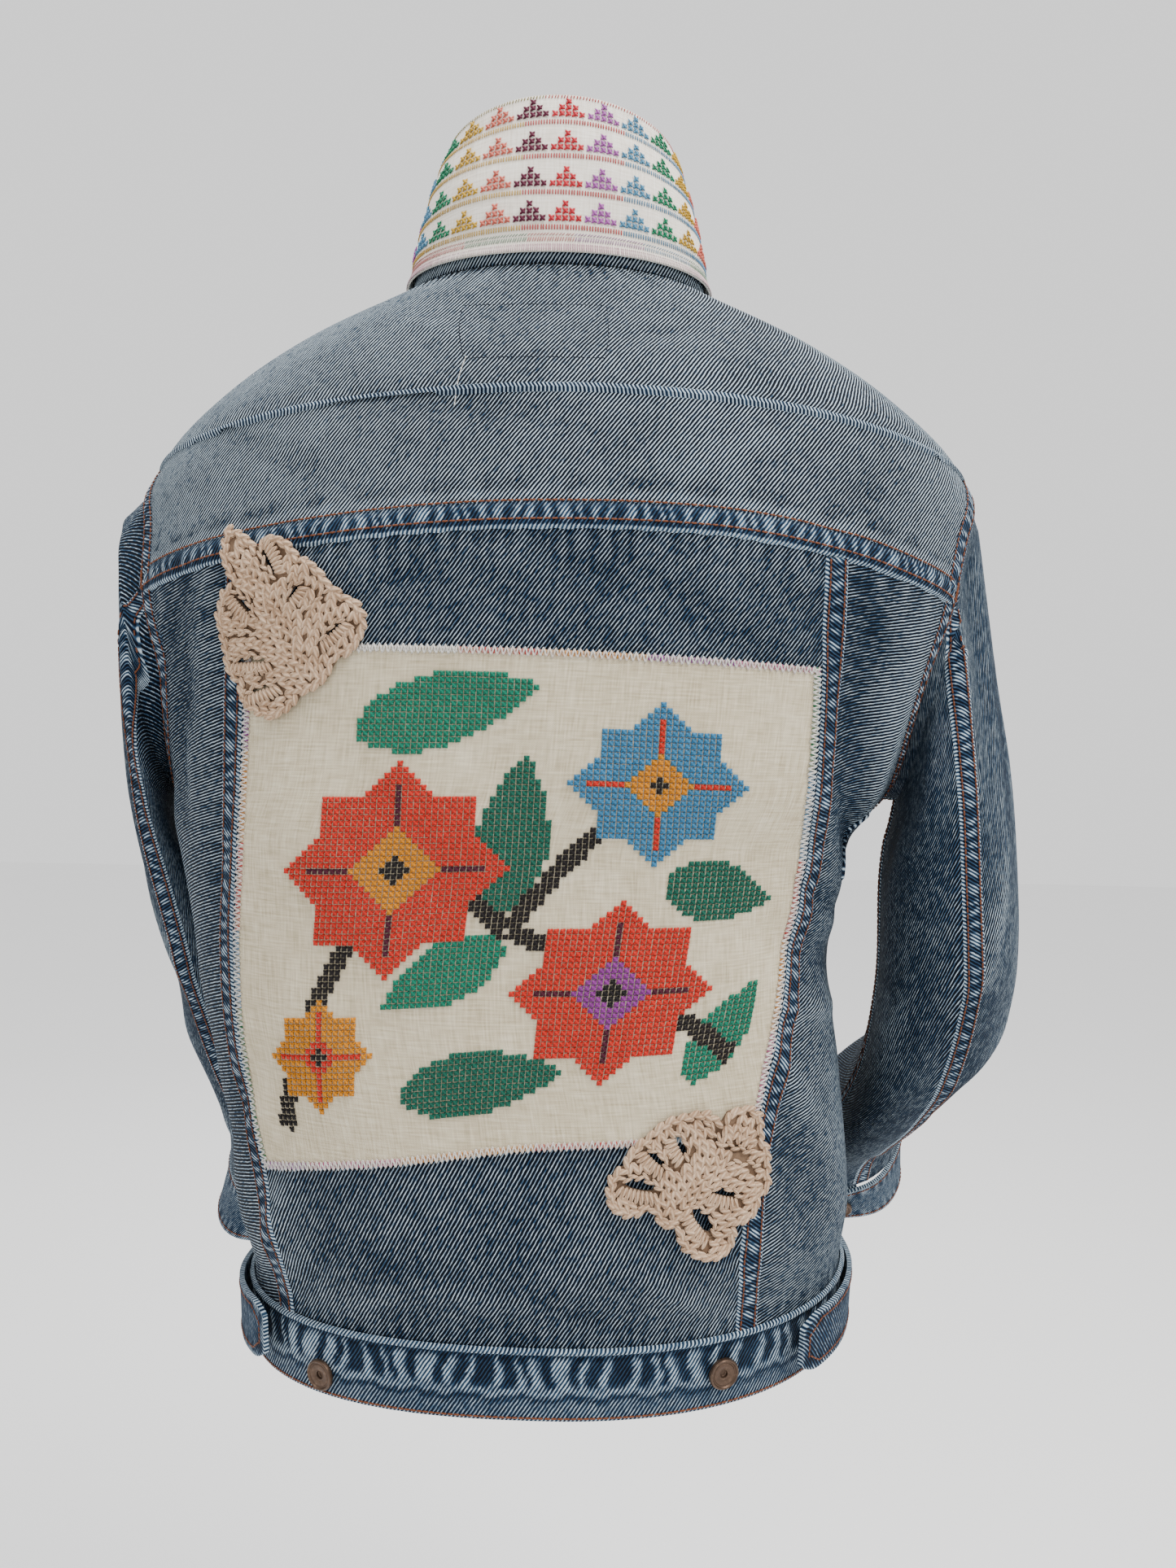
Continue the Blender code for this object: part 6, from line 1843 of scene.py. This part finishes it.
# Floor, light and camera
view = {"place": (-0.0397, 0.641, -0.2268), "yaw": 1.374, "pitch": 3.292, "roll": 1.064, "pixels": 1432.9,
        "imageHeight": 1927}
lights = {
    # place, aim, size, power, colour
    "key": ((-1.1, 0.9, 1.5), (0, 0.05, -0.2), 0.8, 50.0, (1.0, 0.98, 0.95)),
    "top": ((0.0, 0.2, 1.6), (0, 0, 0), 1.0, 30.0, (1.0, 1.0, 1.0)),
    "front": ((0.3, -1.7, 0.5), (0, 0, -0.3), 1.6, 10.0, (1.0, 1.0, 1.0)),
}


room = {"floorHalf": 6.0, "floorBelow": 0.55, "skyStrength": 1.2, "nearest": 0.02}


def floorAndBack():
    bm = bmesh.new()
    bmesh.ops.create_grid(bm, x_segments=1, y_segments=1, size=room["floorHalf"])
    bmesh.ops.translate(bm, verts=bm.verts, vec=(0, 0, cadBox[0][2] - room["floorBelow"]))
    floor = put("floor", meshFrom("floor", bm))
    f = Finish("paleFloor")
    point = f.place()
    tone = f.noise(point, 3.0, 2.0) * 0.02 + 0.90
    colour = f.node("ShaderNodeCombineColor", {}, {0: tone, 1: tone, 2: tone})
    floor.data.materials.append(f.surface(colour, 0.9))
    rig.stage(floor)


def lightUp():
    for name, (place, aim, size, power, colour) in lights.items():
        data = bpy.data.lights.new(name, "AREA")
        data.size, data.energy, data.color = size, power, colour
        lamp = put(name, data)
        lamp.location = place
        lamp.rotation_mode = "QUATERNION"
        lamp.rotation_quaternion = (Vector(aim) - Vector(place)).to_track_quat("-Z", "Y")
    world = bpy.data.worlds.new("studio")
    world.use_nodes = True
    backdrop = world.node_tree.nodes["Background"]
    backdrop.inputs["Color"].default_value = (1, 1, 1, 1)
    backdrop.inputs["Strength"].default_value = room["skyStrength"]
    bpy.context.scene.world = world


def lookThrough():
    yaw, pitch, roll = (math.radians(view[k]) for k in ("yaw", "pitch", "roll"))
    ahead = Vector((math.sin(yaw) * math.cos(pitch), -math.cos(yaw) * math.cos(pitch), -math.sin(pitch)))
    right = ahead.cross(Vector((0, 0, 1))).normalized()
    up = right.cross(ahead)
    across = right * math.cos(roll) + up * math.sin(roll)
    upright = up * math.cos(roll) - right * math.sin(roll)
    turn = Matrix((across, upright, -ahead)).transposed().to_4x4()
    data = bpy.data.cameras.new("camera")
    data.lens = view["pixels"] / view["imageHeight"] * data.sensor_width
    data.clip_start = room["nearest"]
    camera = put("camera", data)
    camera.matrix_world = Matrix.Translation(view["place"]) @ turn
    bpy.context.scene.camera = camera


floorAndBack()
lightUp()
lookThrough()
print("floor, light and camera made")


def plainBox(bounds):
    return [[float(c) for c in corner] for corner in bounds]


with open("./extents.json", "w") as sizes:
    json.dump({"cad": plainBox(cadBox), "visual": plainBox(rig.bounds())}, sizes)
